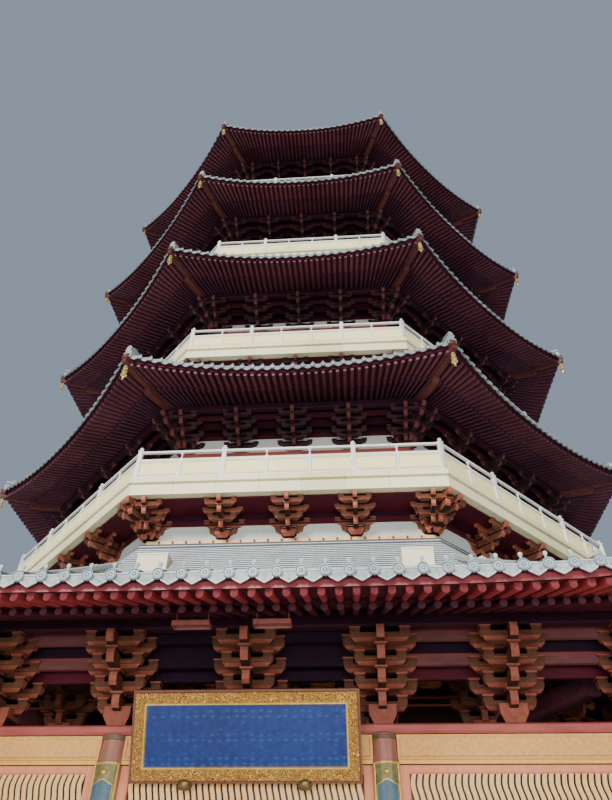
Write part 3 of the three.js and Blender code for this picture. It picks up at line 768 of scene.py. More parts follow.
STOREYS = {
    "second": {"floor": 12.7, "deck": 11.79, "base": 10.5, "wall": 9.55, "eave_half": 12.84, "eave": 16.0},
    "third": {"floor": 19.95, "deck": 10.6, "base": 9.3, "wall": 8.95, "eave_half": 12.26, "eave": 23.16},
    "fourth": {"floor": 27.2, "deck": 10.06, "base": 8.8, "wall": 8.3, "eave_half": 11.7, "eave": 30.39},
    "fifth": {"floor": 34.45, "deck": 9.55, "base": 8.3, "wall": 7.7, "eave_half": 10.96, "eave": 37.85},
}
BALCONY_DEPTH, BALCONY_BRACKETS, BALCONY_REACH, BALCONY_TIERS = 0.66, 0.92, 0.94, 3
SET_FOOT, EAVE_TIERS = 2.35, 4
PURLIN_IN, PURLIN_UP = 2.02, 0.09  # from an eave's edge back and up to its purlin
for s in STOREYS.values():
    s["balcony_foot"] = s["floor"] - BALCONY_DEPTH
    s["sets_foot"] = s["balcony_foot"] - BALCONY_BRACKETS
    s["balcony_sets"] = (s["base"], s["sets_foot"], BALCONY_BRACKETS, BALCONY_REACH, BALCONY_TIERS)
    foot = s["floor"] + SET_FOOT
    s["eave_sets"] = (s["wall"], foot, s["eave"] + PURLIN_UP - foot, s["eave_half"] - PURLIN_IN - s["wall"],
                      EAVE_TIERS)
# The lit paints, then the copies painted darker as shade; the flag also gives the arms' undersides their
# painted shade.
lit_paints = (arm_brown, arm_orange, 1)  # side, edge, and whether the arrises are chamfered
porch_paints = (porch_brown, porch_orange, 1)
shade_paints = (shade_brown, shade_red, 0)
PORCH_SETS, PORCH_REACH, PORCH_TIERS = 1.25, 1.02, 4  # their height and how far they step out
SIDE_SET = 4.41  # the set between a face's inner and corner columns
porch_places = [-CORNER_X, -SIDE_SET, -BAY / 2, 0, BAY / 2, SIDE_SET, CORNER_X]
ring_of_sets("porch_bracket_sets", PORCH, TIE_TOP, PORCH_SETS, PORCH_REACH, PORCH_TIERS, porch_places,
             porch_paints, "porch_eave_brackets")
for level, s in STOREYS.items():
    half_face = s["base"] * EDGE
    ring_of_sets(f"{level}_balcony_sets", *s["balcony_sets"],
                 [x * half_face for x in (-1, -0.47, 0, 0.47, 1)],
                 lit_paints if level == "second" else shade_paints, f"{level}_balcony_base")
    half_face = s["wall"] * EDGE
    ring_of_sets(f"{level}_eave_sets", *s["eave_sets"], [x * half_face for x in (-1, -0.5, 0, 0.5, 1)],
                 shade_paints, f"{level}_eave_brackets")

# The roofs' timber: every eave's corners sweep up and outwards, so each piece is first laid out
# straight on the front and then drawn to that curve. Boards lie over two layers of rafters.
ROOFS = {"porch": {"near": True, "eave_half": 19.54, "eave": 5.23, "wall": PORCH, "inner": 10.52,
                   "top": 10.25, "purlin": (16.86, 5.75), "slope": 0.37, "curve": 5.0}}
for level, inner, top in (("second", 9.32, 17.94), ("third", 8.82, 25.19), ("fourth", 8.32, 32.44),
                          ("fifth", 0.9, 45.35)):
    s = STOREYS[level]
    ROOFS[level] = {**s, "near": False, "inner": inner, "top": top, "slope": 0.3, "curve": 2.2,
                    "purlin": (s["eave_half"] - PURLIN_IN, s["eave"] + PURLIN_UP)}
SWEEP_LIFT, SWEEP_FLARE, SWEEP_LIMIT, SWEEP_REACH = 0.5, 0.36, 3.6, 0.66
FLY_SLOPE = 0.34
RAFTER_TOP = 0.235  # of the round rafters' outer ends, above the eave
RAFTER_PITCH = 0.231
BOARD_STEP = 1.06  # from the eave back to where the round rafters begin


def sweep(roof, across, half):
    """How much of the corner's sweep a place has: 1 at the tip, 0 up the slope and at mid-eave."""
    depth = (roof["eave_half"] - half) / min(roof["eave_half"] - roof["inner"], SWEEP_LIMIT)
    return min(1, max(0, 1 - depth / SWEEP_REACH)) ** 2 * min(1, abs(across)) ** roof["curve"]


def tile_height(roof, half):
    """The tiles' height above ground at a distance from the axis, before the sweep."""
    run = (roof["eave_half"] - half) / (roof["eave_half"] - roof["inner"])
    foot = roof["eave"] + 0.34
    return foot + (roof["top"] - foot) * (0.62 * run + 0.38 * run * run)


def swept(roof, point):
    """Moves a point of the front face's straight layout to the swept curve."""
    half = -point.y
    share = sweep(roof, point.x / (half * EDGE), half)
    out = half + SWEEP_FLARE * share
    return Vector((point.x * out / half, -out, point.z + SWEEP_LIFT * share))


def side_of(way):
    """The number of the face that a direction from the axis points to, 0 at the front."""
    return round((math.atan2(way.y, way.x) + math.pi / 2) / (math.pi / 4))


def note_places(piece, place, way=None):
    """Notes where each corner of a face lies on the piece, turned to the front by the face's way."""
    layout = piece.data.uv_layers[0] if piece.data.uv_layers else piece.data.uv_layers.new(name="courses")
    for face in piece.data.polygons:
        back = turn(-45 * side_of(getattr(face, way))) if way else Matrix()
        for loop in face.loop_indices:
            layout.data[loop].uv = place(back @ piece.data.vertices[piece.data.loops[loop].vertex_index].co)
    return layout


def draw_to_sweep(piece, roof, rise=None):
    """Sweeps a straight front piece; with a rise it first follows that height along the slope."""
    note_places(piece, lambda point: (point.x, -point.y))
    for vertex in piece.data.vertices:
        if rise:
            vertex.co.z += rise(-vertex.co.y)
        vertex.co = swept(roof, vertex.co)
    return piece


def ring_to_sweep(piece, roof):
    """Sweeps a ring that goes round all eight faces, after dividing its sides for the curve."""
    def level_side(edge):
        first, second = (point.co for point in edge.verts)
        return abs(first.z - second.z) < 0.001 and (first - second).length > 0.6 * EDGE * first.xy.length
    divided(piece, "EDGE", level_side, 9)
    note_places(piece, lambda point: (point.x, -point.y), "center")
    for vertex in piece.data.vertices:
        side = side_of(vertex.co)
        vertex.co = turn(45 * side) @ swept(roof, turn(-45 * side) @ vertex.co)
    return piece


roof_boards = matt(finish("roof_board_red", (0.04, 0.005, 0.012), (0.07, 0.01, 0.022), 0.7))
rafter_red = matt(finish("rafter_red", (0.17, 0.018, 0.026), (0.3, 0.046, 0.052), 0.5))
# Purplish copies for the upper eaves' rafters, the flying ones darker than the porch's: painted shade tinted
# blue by the sky.
flying_brown = matt(finish("upper_flying_rafter_painted_shade", (0.085, 0.026, 0.042), (0.15, 0.054, 0.078), 0.5))
upper_rafter_painted_shade = matt(finish("upper_rafter_painted_shade", (0.055, 0.018, 0.038), (0.1, 0.04, 0.072), 0.5))
porch_rafter = matt(finish("porch_rafter_dark", (0.035, 0.004, 0.013), (0.06, 0.01, 0.022), 0.7))
# Lighter for the porch's round rafter end faces than for their dark sides: painted light.
porch_rafter_end_painted_light = finish("porch_rafter_end_painted_light", (0.07, 0.015, 0.028), (0.12, 0.032, 0.048), 0.8)
# Darker for the porch's flying rafter ends, which face the light: painted shade.
rafter_end_shade = matt(finish("rafter_end_painted_shade", (0.08, 0.011, 0.015), (0.15, 0.028, 0.032), 0.85))
edge_pink = finish("eave_board_pink", (0.12, 0.01, 0.016), (0.2, 0.024, 0.032), 0.45)
purlin_red = matt(finish("purlin_dark_red", (0.016, 0.003, 0.01), (0.034, 0.007, 0.017), 0.65,
                         grain=(0.2, 0.2, 1)))

tile_grey = finish("tile_grey", (0.24, 0.28, 0.28), (0.46, 0.51, 0.5), 0.5, fine=30.0, relief=0.15)
tile_tree = tile_grey.node_tree
course_at = node(tile_tree, "SeparateXYZ", {"Vector": place_on(tile_tree, "courses")}).outputs
course = maths(tile_tree, "MULTIPLY", course_at["Y"], 4.2)
lap = maths(tile_tree, "FRACT", course)
column_number = maths(tile_tree, "FLOOR", maths(tile_tree, "MULTIPLY", course_at["X"], 6.33))
tile_number = node(tile_tree, "CombineXYZ", {"X": maths(tile_tree, "FLOOR", course), "Y": column_number})
tile_tint = node(tile_tree, "TexWhiteNoise", {"Vector": tile_number.outputs[0]}, noise_dimensions="3D")
tile_tones = tones(tile_tree, tile_tint.outputs["Value"], (0.0, 0.7, 0.72, 0.74), (1.0, 1.15, 1.12, 1.08))
patterned(tile_grey, tile_tones)
patterned(tile_grey, tones(tile_tree, lap, (0.0, 0.25, 0.26, 0.27), (0.12, 1, 1, 1)))
fine_relief = tile_tree.nodes["Principled BSDF"].inputs["Normal"].links[0].from_socket
raised_by(tile_tree, lap, 0.9, 0.02, Normal=fine_relief)


def roof_bed(name, roof):
    """The closed bed of boards and clay that carries the tiles."""
    edge, eave, wall, inner = roof["eave_half"], roof["eave"], roof["wall"], roof["inner"]
    section = [[edge - 0.08, eave + 0.035], [edge - 1.03, eave + 0.3], [edge - 1.04, eave + 0.25]]
    section.append([wall - 0.2, eave + RAFTER_TOP + roof["slope"] * (edge - BOARD_STEP - wall + 0.2)])
    section.append([inner + 0.25, roof["top"] - 0.5])
    for step in range(7):
        half = inner + (edge - 0.05 - inner) * step / 6
        section.append([half, tile_height(roof, half) - 0.1])
    section += [[edge - 0.05, eave + 0.15], [edge - 0.08, eave + 0.14]]
    bed = paint(octagon_ring(section), tile_grey, roof_boards, edge_pink if roof["near"] else roof_boards)

    def bed_paint(face):
        if face.center.z < eave + 0.13 and abs(face.normal.z) < 0.1 and face.center.xy.length > edge - 0.3:
            return 2
        return face.normal.z <= 0.2
    ring_to_sweep(paint_by(bed, bed_paint), roof)
    settle(round_off(bed, 30), f"{name}_roof_bed", "roof_tile", f"{name}_roof")


def rafters(roof, rafter, name):
    """Copies one rafter along the front, fans the outer ones towards the hip, and sweeps them."""
    edge = roof["eave_half"]
    width = edge * EDGE - 0.12
    row = row_of(rafter, np.linspace(-width, width, 2 * int(width / RAFTER_PITCH) + 1))
    for vertex in row.data.vertices:
        away = max(0, (abs(vertex.co.x) / width - 0.45) / 0.55)
        inward = (edge + vertex.co.y) / edge
        vertex.co.x *= 1 - inward * away * away * (3 - 2 * away)
    settle(round_the_tower(draw_to_sweep(row, roof)), name, "red_timber")


def flying_rafter(roof):
    """A square upper rafter with eased lower edges; on the porch its end face is painted darker, as painted
    shade.
    """
    eave, near = roof["eave"], roof["near"]
    start = roof["eave_half"] - 0.11
    rafter = timber((-0.05, -start, eave - 0.075), (0.05, 1.1 - start, eave + 0.04))
    if near:
        eased(rafter, lambda edge: running(1)(edge) and edge.verts[0].co.z < eave - 0.07, 0.03, 1)
    divided(rafter, "EDGE", running(1), 2)
    paint(rafter, rafter_red if near else flying_brown, rafter_end_shade)
    paint_by(rafter, lambda face: near and in_front(face))
    for vertex in rafter.data.vertices:
        vertex.co.z += FLY_SLOPE * (start + vertex.co.y)
    return rafter


def round_bar(sides, radius, length, y=0.0, z=0.0):
    """A round bar along y."""
    return begun(bpy.ops.mesh.primitive_cylinder_add, vertices=sides, radius=radius, depth=length,
                 rotation=(math.pi / 2, 0, 0), location=(0, y, z))


def round_rafter(roof):
    """A round lower rafter, from under the boards' step back to the wall."""
    near = roof["near"]
    start = roof["eave_half"] - 1.02
    length = start - roof["wall"] + 0.15
    rafter = round_bar(8 if near else 6, 0.06, length, length / 2 - start, roof["eave"] + RAFTER_TOP - 0.06)
    divided(rafter, "EDGE", running(1), 2)
    for vertex in rafter.data.vertices:
        vertex.co.z += roof["slope"] * (start + vertex.co.y)
    paint(rafter, porch_rafter if near else upper_rafter_painted_shade, porch_rafter_end_painted_light)
    # On the porch the end faces are painted lighter than the sides, as painted light.
    return round_off(paint_by(rafter, lambda face: near and face.normal.y < -0.7), 50)


for name, roof in ROOFS.items():
    roof_bed(name, roof)
    rafters(roof, flying_rafter(roof), f"{name}_flying_rafters")
    rafters(roof, round_rafter(roof), f"{name}_round_rafters")
    inner, low = roof["purlin"][0] - 0.11, roof["purlin"][1]
    purlin = octagon_ring([[inner, low + 0.03], [inner + 0.03, low], [inner + 0.19, low],
                           [inner + 0.22, low + 0.03], [inner + 0.22, low + 0.22], [inner, low + 0.26]])
    settle(paint(purlin, purlin_red), f"{name}_purlin", "red_timber")

# The tiles: rows of half-round cover tiles over the pans, each row with a round end tile at the eave,
# a pointed drip tile between, and a ball cap over the nail. All are baked clay, silver grey-green. On the
# upper eaves the drip tiles and nail caps are painted darker, as painted shade.
PORCH_PITCH, UPPER_PITCH = 0.326, 0.338
tile_pale = finish("end_tile_grey", (0.26, 0.31, 0.32), (0.46, 0.53, 0.53), 0.42, fine=40.0, relief=0.5)
tile_face = finish("end_tile_face", (0.18, 0.25, 0.28), (0.36, 0.45, 0.48), 0.42, fine=40.0, relief=0.3)
# A darker copy of the tile paint for the upper eaves' drip tiles and nail caps: painted shade.
tile_painted_shade = finish("upper_tile_painted_shade", (0.1, 0.12, 0.13), (0.2, 0.23, 0.24), 0.5, fine=40.0, relief=0.5)
drip_face = finish("drip_tile_face", (0.1, 0.13, 0.14), (0.36, 0.42, 0.43), 0.5, fine=26.0, relief=0.8)
face_tree = tile_face.node_tree
face_at = place_on(face_tree, "courses")
from_middle = node(face_tree, "VectorMath", {0: face_at}, operation="LENGTH").outputs["Value"]
round_it = node(face_tree, "SeparateXYZ", {"Vector": face_at}).outputs
angle = maths(face_tree, "ARCTAN2", round_it["X"], round_it["Y"])
petal = maths(face_tree, "SINE", maths(face_tree, "MULTIPLY", angle, 8.0))
lobed = maths(face_tree, "MULTIPLY_ADD", petal, 0.0025, from_middle)
pattern = tones(face_tree, maths(face_tree, "MULTIPLY", lobed, 10.0),
                (0.0, 1, 1, 1), (0.16, 0.95, 0.95, 0.95), (0.24, 0.3, 0.32, 0.34), (0.34, 0.95, 0.95, 0.95),
                (0.56, 0.9, 0.9, 0.9), (0.64, 0.32, 0.34, 0.36), (0.72, 1, 1, 1))
patterned(tile_face, pattern)
raised_by(face_tree, pattern, 0.8, 0.01)


def cover_row(roof):
    """A straight half-round row from the roof's foot to its top."""
    start = roof["eave_half"] + 0.02
    length = start - roof["inner"] - 0.1
    row = sawn(round_bar(8, 0.074, length, length / 2 - start), (0, 0, -0.02), (0, 0, 1),
               clear_inner=True, use_fill=True)
    divided(row, "EDGE", running(1), max(4, int(length / 1.3)))
    for vertex in row.data.vertices:
        vertex.co.z -= 0.09
    return round_off(paint(row, tile_grey), 40)


def end_tile(sides):
    """The disc that closes a cover row, with a raised rim."""
    disc = bordered(round_bar(sides, 0.08, 0.05), in_front, (0.014, 0.0), (0.006, -0.01))
    note_places(disc, lambda point: (point.x, point.z)).name = "courses"
    return round_off(paint(disc, tile_face), 40)


def drip_tile(rimmed):
    """The pointed lip of a pan tile, rimmed where it is seen from near."""
    lip = timber((-0.16, -0.012, -0.03), (0.16, 0.012, 0.03))
    open_up(lip, "FACE", underneath)
    draw_out((0, 0, -0.06), (0.7, 1, 1))
    draw_out((0, 0, -0.06), (0.1, 1, 1))
    close_up()
    if not rimmed:
        # Seen from far, the lip gets the darker copy, painted shade.
        return paint(lip, tile_painted_shade)
    paint(lip, tile_pale, drip_face)
    open_up(lip, "FACE", in_front)
    bpy.ops.mesh.inset(thickness=0.016, depth=0.0)
    bpy.ops.mesh.inset(thickness=0.008, depth=-0.012)
    brush(lip, 1)
    return close_up(lip)


def nail_ball(segments, rings, material):
    ball = begun(bpy.ops.mesh.primitive_uv_sphere_add, segments=segments, ring_count=rings, radius=0.034)
    open_up(ball, "VERT", lambda point: point.co.z < -0.025)
    bpy.ops.transform.resize(value=(1.1, 1.1, 2.4), center_override=(0, 0, 0))
    close_up()
    return round_off(paint(ball, material))


def at_eave(roof, xs, half, drop):
    """Places along a swept eave, each so far below the tiles' middle line."""
    return [Matrix.Translation(swept(roof, Vector((x, -half, tile_height(roof, half) - drop)))) for x in xs]


for name, roof in ROOFS.items():
    edge, near = roof["eave_half"], roof["near"]
    width = edge * EDGE - 0.1
    intervals = round(2 * width / (PORCH_PITCH if near else UPPER_PITCH))
    xs = np.linspace(-width, width, intervals + 1)
    rows = row_of(cover_row(roof), xs)
    for side in (-1, 1):
        hip = (side * math.cos(math.pi / 8), math.sin(math.pi / 8), 0)
        sawn(rows, (side * -0.06, 0, 0), hip, clear_outer=True, use_fill=True)
    draw_to_sweep(rows, roof, lambda half: tile_height(roof, half))
    settle(round_the_tower(rows), f"{name}_cover_tiles", "roof_tile")
    discs = copies(end_tile(12 if near else 8), at_eave(roof, xs, edge + 0.02, 0.11))
    drips = copies(drip_tile(near), at_eave(roof, (xs[1:] + xs[:-1]) / 2, edge, 0.12))
    # The upper eaves' nail caps get the darker copy, painted shade.
    ball = nail_ball(6, 4, tile_pale) if near else nail_ball(5, 3, tile_painted_shade)
    balls = copies(ball, at_eave(roof, xs, edge - 0.04, -0.045))
    settle(round_the_tower(join([discs, drips, balls])), f"{name}_eave_tiles", "ridge_tile")

# The ridges: stacked tiles bedded in mortar down every hip, with a rolled cap tile on top and a
# horned beast at the tip, and a stepped ridge of thin courses where each roof meets the tower.
beast_grey = finish("beast_grey", (0.07, 0.1, 0.11), (0.18, 0.23, 0.24), 0.5, fine=30.0, relief=0.5)
ridge_grey = finish("ridge_grey", (0.2, 0.24, 0.24), (0.38, 0.43, 0.42), 0.5, fine=36.0)
ridge_tree = ridge_grey.node_tree
ridge_height = node(ridge_tree, "SeparateXYZ", {"Vector": place_on(ridge_tree)}).outputs["Z"]
layer = maths(ridge_tree, "FRACT", maths(ridge_tree, "MULTIPLY", ridge_height, 42.0))
patterned(ridge_grey, tones(ridge_tree, layer, (0.0, 0.3, 0.3, 0.3), (0.2, 1, 1, 1)))
# Near black for the steps under each course's lip: painted shade.
course_gap = finish("course_gap_painted_shade", (0.05, 0.05, 0.07), (0.1, 0.1, 0.13), 0.8, fine=36.0)


def hip_bar(roof):
    """Straight bar along -Y at the front corner, from the roof's top to near its tip."""
    start = (roof["eave_half"] - 0.02) * TO_CORNER
    end = (roof["inner"] + 0.1) * TO_CORNER
    bar = timber((-0.17, -start, -0.12), (0.17, -end, 0.08))
    open_up(bar, "FACE", on_top)
    for lift, share in (
        (0.0, 0.62), (0.12, 1.0), (0.0, 1.35), (0.04, 1.0), (0.0, 0.66), (0.08, 1.0), (0.05, 0.55),
    ):
        draw_out((0, 0, lift), (share, 1, 1))
    close_up()
    return divided(bar, "EDGE", running(1), max(10, int((start - end) / 0.5)))


def to_hip(piece, roof, height_at):
    """Bends a piece laid out along -Y at height 0 to the swept hip."""
    for vertex in piece.data.vertices:
        half = -vertex.co.y / TO_CORNER
        share = sweep(roof, 1, half)
        vertex.co.z += height_at(half) + SWEEP_LIFT * share
        vertex.co.y = -(half + SWEEP_FLARE * share) * TO_CORNER
    return piece


def on_corners(piece, name, slot, *cad_nodes):
    """Turns a piece laid out along -Y to its corner, and puts one on every corner."""
    piece.data.transform(turn(22.5))
    settle(round_the_tower(piece), name, slot, *cad_nodes)


def beast(y, height):
    """A small crouching beast with a raised head and tail."""
    body = timber((-0.06, y - 0.16, 0.2), (0.06, y + 0.16, 0.36))
    open_up(body, "FACE", in_front)
    draw_out((0, -0.1, 0.12), (0.9, 1, 0.9), (0, y - 0.26, 0.4))
    draw_out((0, -0.1, 0.03), (0.6, 1, 0.5), (0, y - 0.36, 0.42))
    close_up()
    open_up(body, "FACE", lambda face: face.normal.y > 0.9)
    draw_out((0, 0.08, 0.14), (0.6, 1, 0.6), (0, y + 0.24, 0.44))
    draw_out((0, -0.04, height), (0.5, 1, 0.3), (0, y + 0.2, 0.44 + height))
    close_up()
    return round_off(paint(body, beast_grey), 60)


STEEP_FROM, STEEP_BACK = 13, 0.015  # the porch ridge's topmost courses stand almost over each other
for name, roof in ROOFS.items():
    beasts = [beast(-(roof["eave_half"] - back) * TO_CORNER, 0.14) for back in (0.5, 1.15)]
    hips = join([paint(hip_bar(roof), ridge_grey), *beasts])
    on_corners(to_hip(hips, roof, lambda half: tile_height(roof, half)), f"{name}_hip_ridges", "ridge_tile",
               f"{name}_roof_ridges")
    inner, top = roof["inner"], roof["top"]
    if roof["near"]:
        lip_half, lip_foot, courses, back, lift, lip, low = 11.98, 9.3, 15, 0.0845, 0.1025, 0.028, 9.1
    else:
        lip_half, lip_foot, courses, back, lift, lip = inner + 0.42, top - 0.08, 6, 0.06, 0.062, 0.026
        low = lip_foot - 0.4
    section = [[lip_half, low]]
    for step in range(courses):
        half = lip_half - back * min(step, STEEP_FROM) - STEEP_BACK * max(0, step - STEEP_FROM)
        gap_half = half - (back if step < STEEP_FROM else STEEP_BACK) - 0.012
        foot = lip_foot + lift * step
        section += [[half, foot], [half, foot + lip], [gap_half, foot + lip], [gap_half, foot + lift]]
    ridge_top = top + 0.56 if roof["near"] else foot + lift + 0.02
    section += [[inner + 0.12, foot + lift], [inner + 0.12, ridge_top], [inner - 0.01, ridge_top],
                [inner - 0.01, lip_foot - 0.4]]
    ring = paint(octagon_ring(section), course_gap, tile_pale)

    # The courses' tops and lip fronts are pale; the steps under the lips are painted dark, as painted shade.
    def course_paint(face):
        heights = [ring.data.vertices[i].co.z for i in face.vertices]
        front_edge = abs(face.normal.z) < 0.3 and max(heights) - min(heights) < 0.5 * lift
        return face.normal.z > 0.5 or face.area > 0.2 and front_edge
    settle(paint_by(ring, course_paint), f"{name}_ring_ridge", "ridge_tile")

# The hip beams under every corner: a heavy lower beam out to the purlin and a flying beam on it that
# turns up to the tip, painted red-brown. A gilt wind bell in three tiers hangs from each tip.
hip_paint = matt(finish("hip_beam_red", (0.075, 0.02, 0.019), (0.145, 0.046, 0.042), 0.5))
bell_gilt = finish("bell_gilt", (0.62, 0.48, 0.17), (0.92, 0.78, 0.4), 0.32, 0.7, relief=0.1)


def beam_on_hip(roof, start_half, end_half, width, depth, height_at):
    """A beam along the hip, its foot following a height, with a rounded nose."""
    end = -end_half * TO_CORNER
    beam = timber((-width / 2, end, 0), (width / 2, -start_half * TO_CORNER, depth))
    divided(beam, "EDGE", running(1), 8)
    eased(beam, lambda edge: all(v.co.y < 0.01 + end and v.co.z < 0.01 for v in edge.verts), depth * 0.6, 3,
          clamp_overlap=False)
    return to_hip(beam, roof, height_at)


def wind_bell(top):
    """Three bells one under the other on a rod, the lowest with a clapper plate."""
    parts = [turned([[0.012, top - 0.62], [0.012, top]], 6)]
    for drop, radius in ((0.08, 0.075), (0.22, 0.085), (0.37, 0.1)):
        height = radius * 1.3
        shell = [[radius * share, top - drop - height * down] for share, down in (
            (1.08, 1), (0.85, 0.6), (0.72, 0.2), (0.35, 0))]
        parts.append(round_off(turned([*shell, [0.015, top - drop + 0.01]], 10)))
    parts.append(timber((-0.035, -0.006, top - 0.7), (0.035, 0.006, top - 0.6)))
    return paint(join(parts), bell_gilt)


for name, roof in ROOFS.items():
    edge, eave, wall = roof["eave_half"], roof["eave"], roof["wall"]

    def under_rafters(half):
        return eave + roof["slope"] * (edge - BOARD_STEP - half) - 0.05

    def under_flying(half):
        return eave - 0.12 + FLY_SLOPE * (edge - 0.2 - half)
    lower = beam_on_hip(roof, wall - 0.1, edge - 0.95, 0.24, 0.26, under_rafters)
    upper = beam_on_hip(roof, edge - 2.0, edge + 0.03, 0.17, 0.22, under_flying)
    shoe = timber((-0.11, -(edge + 0.1) * TO_CORNER, eave + 0.16),
                  (0.11, -(edge - 0.25) * TO_CORNER, eave + 0.38))
    bordered(shoe, in_front, (0.03, 0.03))
    shoe.data.transform(move(0, -SWEEP_FLARE * TO_CORNER * 0.82, SWEEP_LIFT - 0.14))
    on_corners(paint(join([lower, upper, shoe]), hip_paint), f"{name}_hip_beams", "red_timber")
    bell = wind_bell(eave - 0.12 + SWEEP_LIFT)
    bell.data.transform(move(0, -(edge + SWEEP_FLARE - 0.12) * TO_CORNER))
    on_corners(bell, f"{name}_wind_bells", "gilt")

# Between the bracket sets: lime-plastered boards behind the lower tiers, and above them squared beams
# on every step with boards that close it. They are dark, or pink with a red band beside the entrance.
# On the porch the closing boards and the middle bays are painted near black, as painted shade.
long_grain = {"grain": (0.2, 0.2, 1)}
tie_pink = matt(finish("tie_beam_pink", (0.105, 0.036, 0.038), (0.17, 0.064, 0.066), 0.65, **long_grain))
tie_dark = matt(finish("tie_beam_dark_red", (0.05, 0.004, 0.011), (0.09, 0.01, 0.019), 0.6, **long_grain))
band_red = finish("tie_band_red", (0.13, 0.018, 0.016), (0.2, 0.034, 0.03), 0.6, **long_grain)
# Near black for the porch's closing boards and middle bays: painted shade.
bay_shade = matt(finish("middle_bay_shade", (0.01, 0.003, 0.01), (0.02, 0.006, 0.02), 0.8))


def squared_ring(inner, outer, low, high, material):
    """A beam or a row of boards that goes round the tower."""
    return paint(octagon_ring([[inner, low], [outer, low], [outer, high], [inner, high]]), material)


porch_step = PORCH_REACH / (PORCH_TIERS - 1)
porch_beams = []
for plane, low, high, beam_paint in (
    (0, 5.22, 5.42, tie_dark), (0, 5.42, 6.3, bay_shade), (1, 5.35, 5.5, tie_pink), (1, 5.5, 5.54, band_red),
    (1, 5.54, 6.2, bay_shade), (2, 5.65, 5.79, tie_pink), (2, 5.79, 5.9, band_red),
    (2, 5.9, 6.05, bay_shade),
):
    out = PORCH + plane * porch_step
    porch_beams.append(squared_ring(out - 0.05, out + 0.05, low, high, beam_paint))
porch_ties = join(porch_beams)
for lane in ((1, 0, 0), (0, 1, 0)):
    for side in (-1, 1):
        sawn(porch_ties, Vector(lane) * side * BAY / 2, lane)
# The middle bays over the entrance get the painted shade.
tie_paints = list(porch_ties.data.materials)
for face in porch_ties.data.polygons:
    if min(abs(face.center.x), abs(face.center.y)) < BAY / 2:
        face.material_index = tie_paints.index(bay_shade)
settle(porch_ties, "porch_tie_beams", "red_timber")

# Inside the porch a second ring of bracket sets stands over the aisle, on a plate carried by beams
# that run from the columns to the inner wall. All is timber, and carved clouds hang between the sets.
AISLE, AISLE_FOOT, AISLE_TOP, AISLE_REACH, AISLE_TIERS = 13.2, 5.0, 6.02, 0.5, 3
aisle_wood = finish("aisle_timber", (0.1, 0.022, 0.045), (0.18, 0.045, 0.08), 0.7)
# The clouds are painted much brighter than their orange-brown wood, as painted light, since little light
# reaches them.
carved_wood = finish("carved_cloud_painted_light", (0.8, 0.24, 0.08), (1.0, 0.46, 0.18), 0.6, fine=16.0, relief=0.8)
sleepers = [eased(timber((x - 0.1, -PORCH + 0.1, 4.6), (x + 0.1, -10.4, 4.84)), running(1), 0.03)
            for x in (-BAY / 2, BAY / 2)]
diagonal = eased(timber((-0.19, -14.9 * TO_CORNER, 5.22), (0.19, -10.5 * TO_CORNER, 5.62)), running(1), 0.09)
diagonal.data.transform(turn(22.5))
sleeper_ring = round_the_tower(paint(join([*sleepers, diagonal]), aisle_wood))
aisle_rings = []
for half, low, high, material in (
    (0.16, 4.82, AISLE_FOOT, aisle_wood), (0.1, AISLE_TOP, 6.4, aisle_wood), (0.04, 6.36, 7.38, aisle_wood),
    (0.06, 5.55, 5.58, arm_orange), (0.06, 5.7, 5.73, arm_orange),
):
    aisle_rings.append(squared_ring(AISLE - half, AISLE + half, low, high, material))
settle(join([sleeper_ring, *aisle_rings]), "aisle_frame", "red_timber")
aisle_set = bracket_set(*tier_sizes(AISLE_TOP - AISLE_FOOT, AISLE_REACH, AISLE_TIERS),
                        (arm_brown, arm_orange, 0))
aisle_sets = row_of(aisle_set, (-SIDE_SET, -BAY / 2, 0, BAY / 2, SIDE_SET), -AISLE, AISLE_FOOT)
settle(round_the_tower(aisle_sets), "aisle_bracket_sets", "red_timber")
cloud = timber((-0.27, -0.03, -0.15), (0.27, 0.03, 0.02))
for width in (0.19, 0.1):
    eased(cloud, lambda edge: not running(0, 0.01)(edge) and all(v.co.z < 0 for v in edge.verts), width / 2,
          clamp_overlap=False)
cloud_row = row_of(cloud, (-3.39, -1.13, 1.13, 3.39), -AISLE - 0.16, AISLE_TOP)
put_round([cloud_row], carved_wood, "carved_clouds", "red_timber")
panel_white = finish("panel_plaster", (0.55, 0.62, 0.58), (0.72, 0.78, 0.73), 0.8, fine=40.0, relief=0.1)


def between_sets(name, half, foot, height, reach, tiers, beam_paints, board_tiers, roof=None):
    """The infill of one ring of upper sets, seen between them from below."""
    cap, rise, step, tiers = tier_sizes(height, reach, tiers)
    split = foot + cap + board_tiers * rise
    wall_board = squared_ring(half - 0.1, half + 0.01, foot, split, panel_white)
    settle(wall_board, f"{name}_wall_board", "wall_panel")
    beams = []
    for plane in range(tiers - 1):
        out = half + plane * step
        low = foot + cap + min(plane + board_tiers, tiers) * rise
        top = foot + height
        if roof:
            top = roof["eave"] + 0.09 + roof["slope"] * (roof["eave_half"] - BOARD_STEP - out)
        edge = low + min(0.7 * rise, top - low - 0.01)
        if plane == tiers - 2:
            low, edge = foot + height - 0.01, foot + height + 0.7 * rise
        if low < top - 0.02 or roof:
            beams.append(squared_ring(out - 0.06, out + 0.06, low, edge, beam_paints[plane % 2]))
        if top > edge + 0.05:
            beams.append(squared_ring(out - 0.03, out + 0.02, edge, top, beam_paints[(plane + 1) % 2]))
    settle(join(beams), f"{name}_tie_beams", "red_timber")


for level, s in STOREYS.items():
    between_sets(f"{level}_balcony", *s["balcony_sets"], (tie_dark, purlin_red), 1.3)
    under_slab = s["balcony_foot"]
    ceiling = squared_ring(s["base"] - 0.05, s["deck"] - 0.3, under_slab - 0.06, under_slab - 0.005,
                           tie_dark)
    settle(ceiling, f"{level}_balcony_ceiling", "red_timber")
    between_sets(f"{level}_eave", *s["eave_sets"], (roof_boards, purlin_red), 2.6, ROOFS[level])

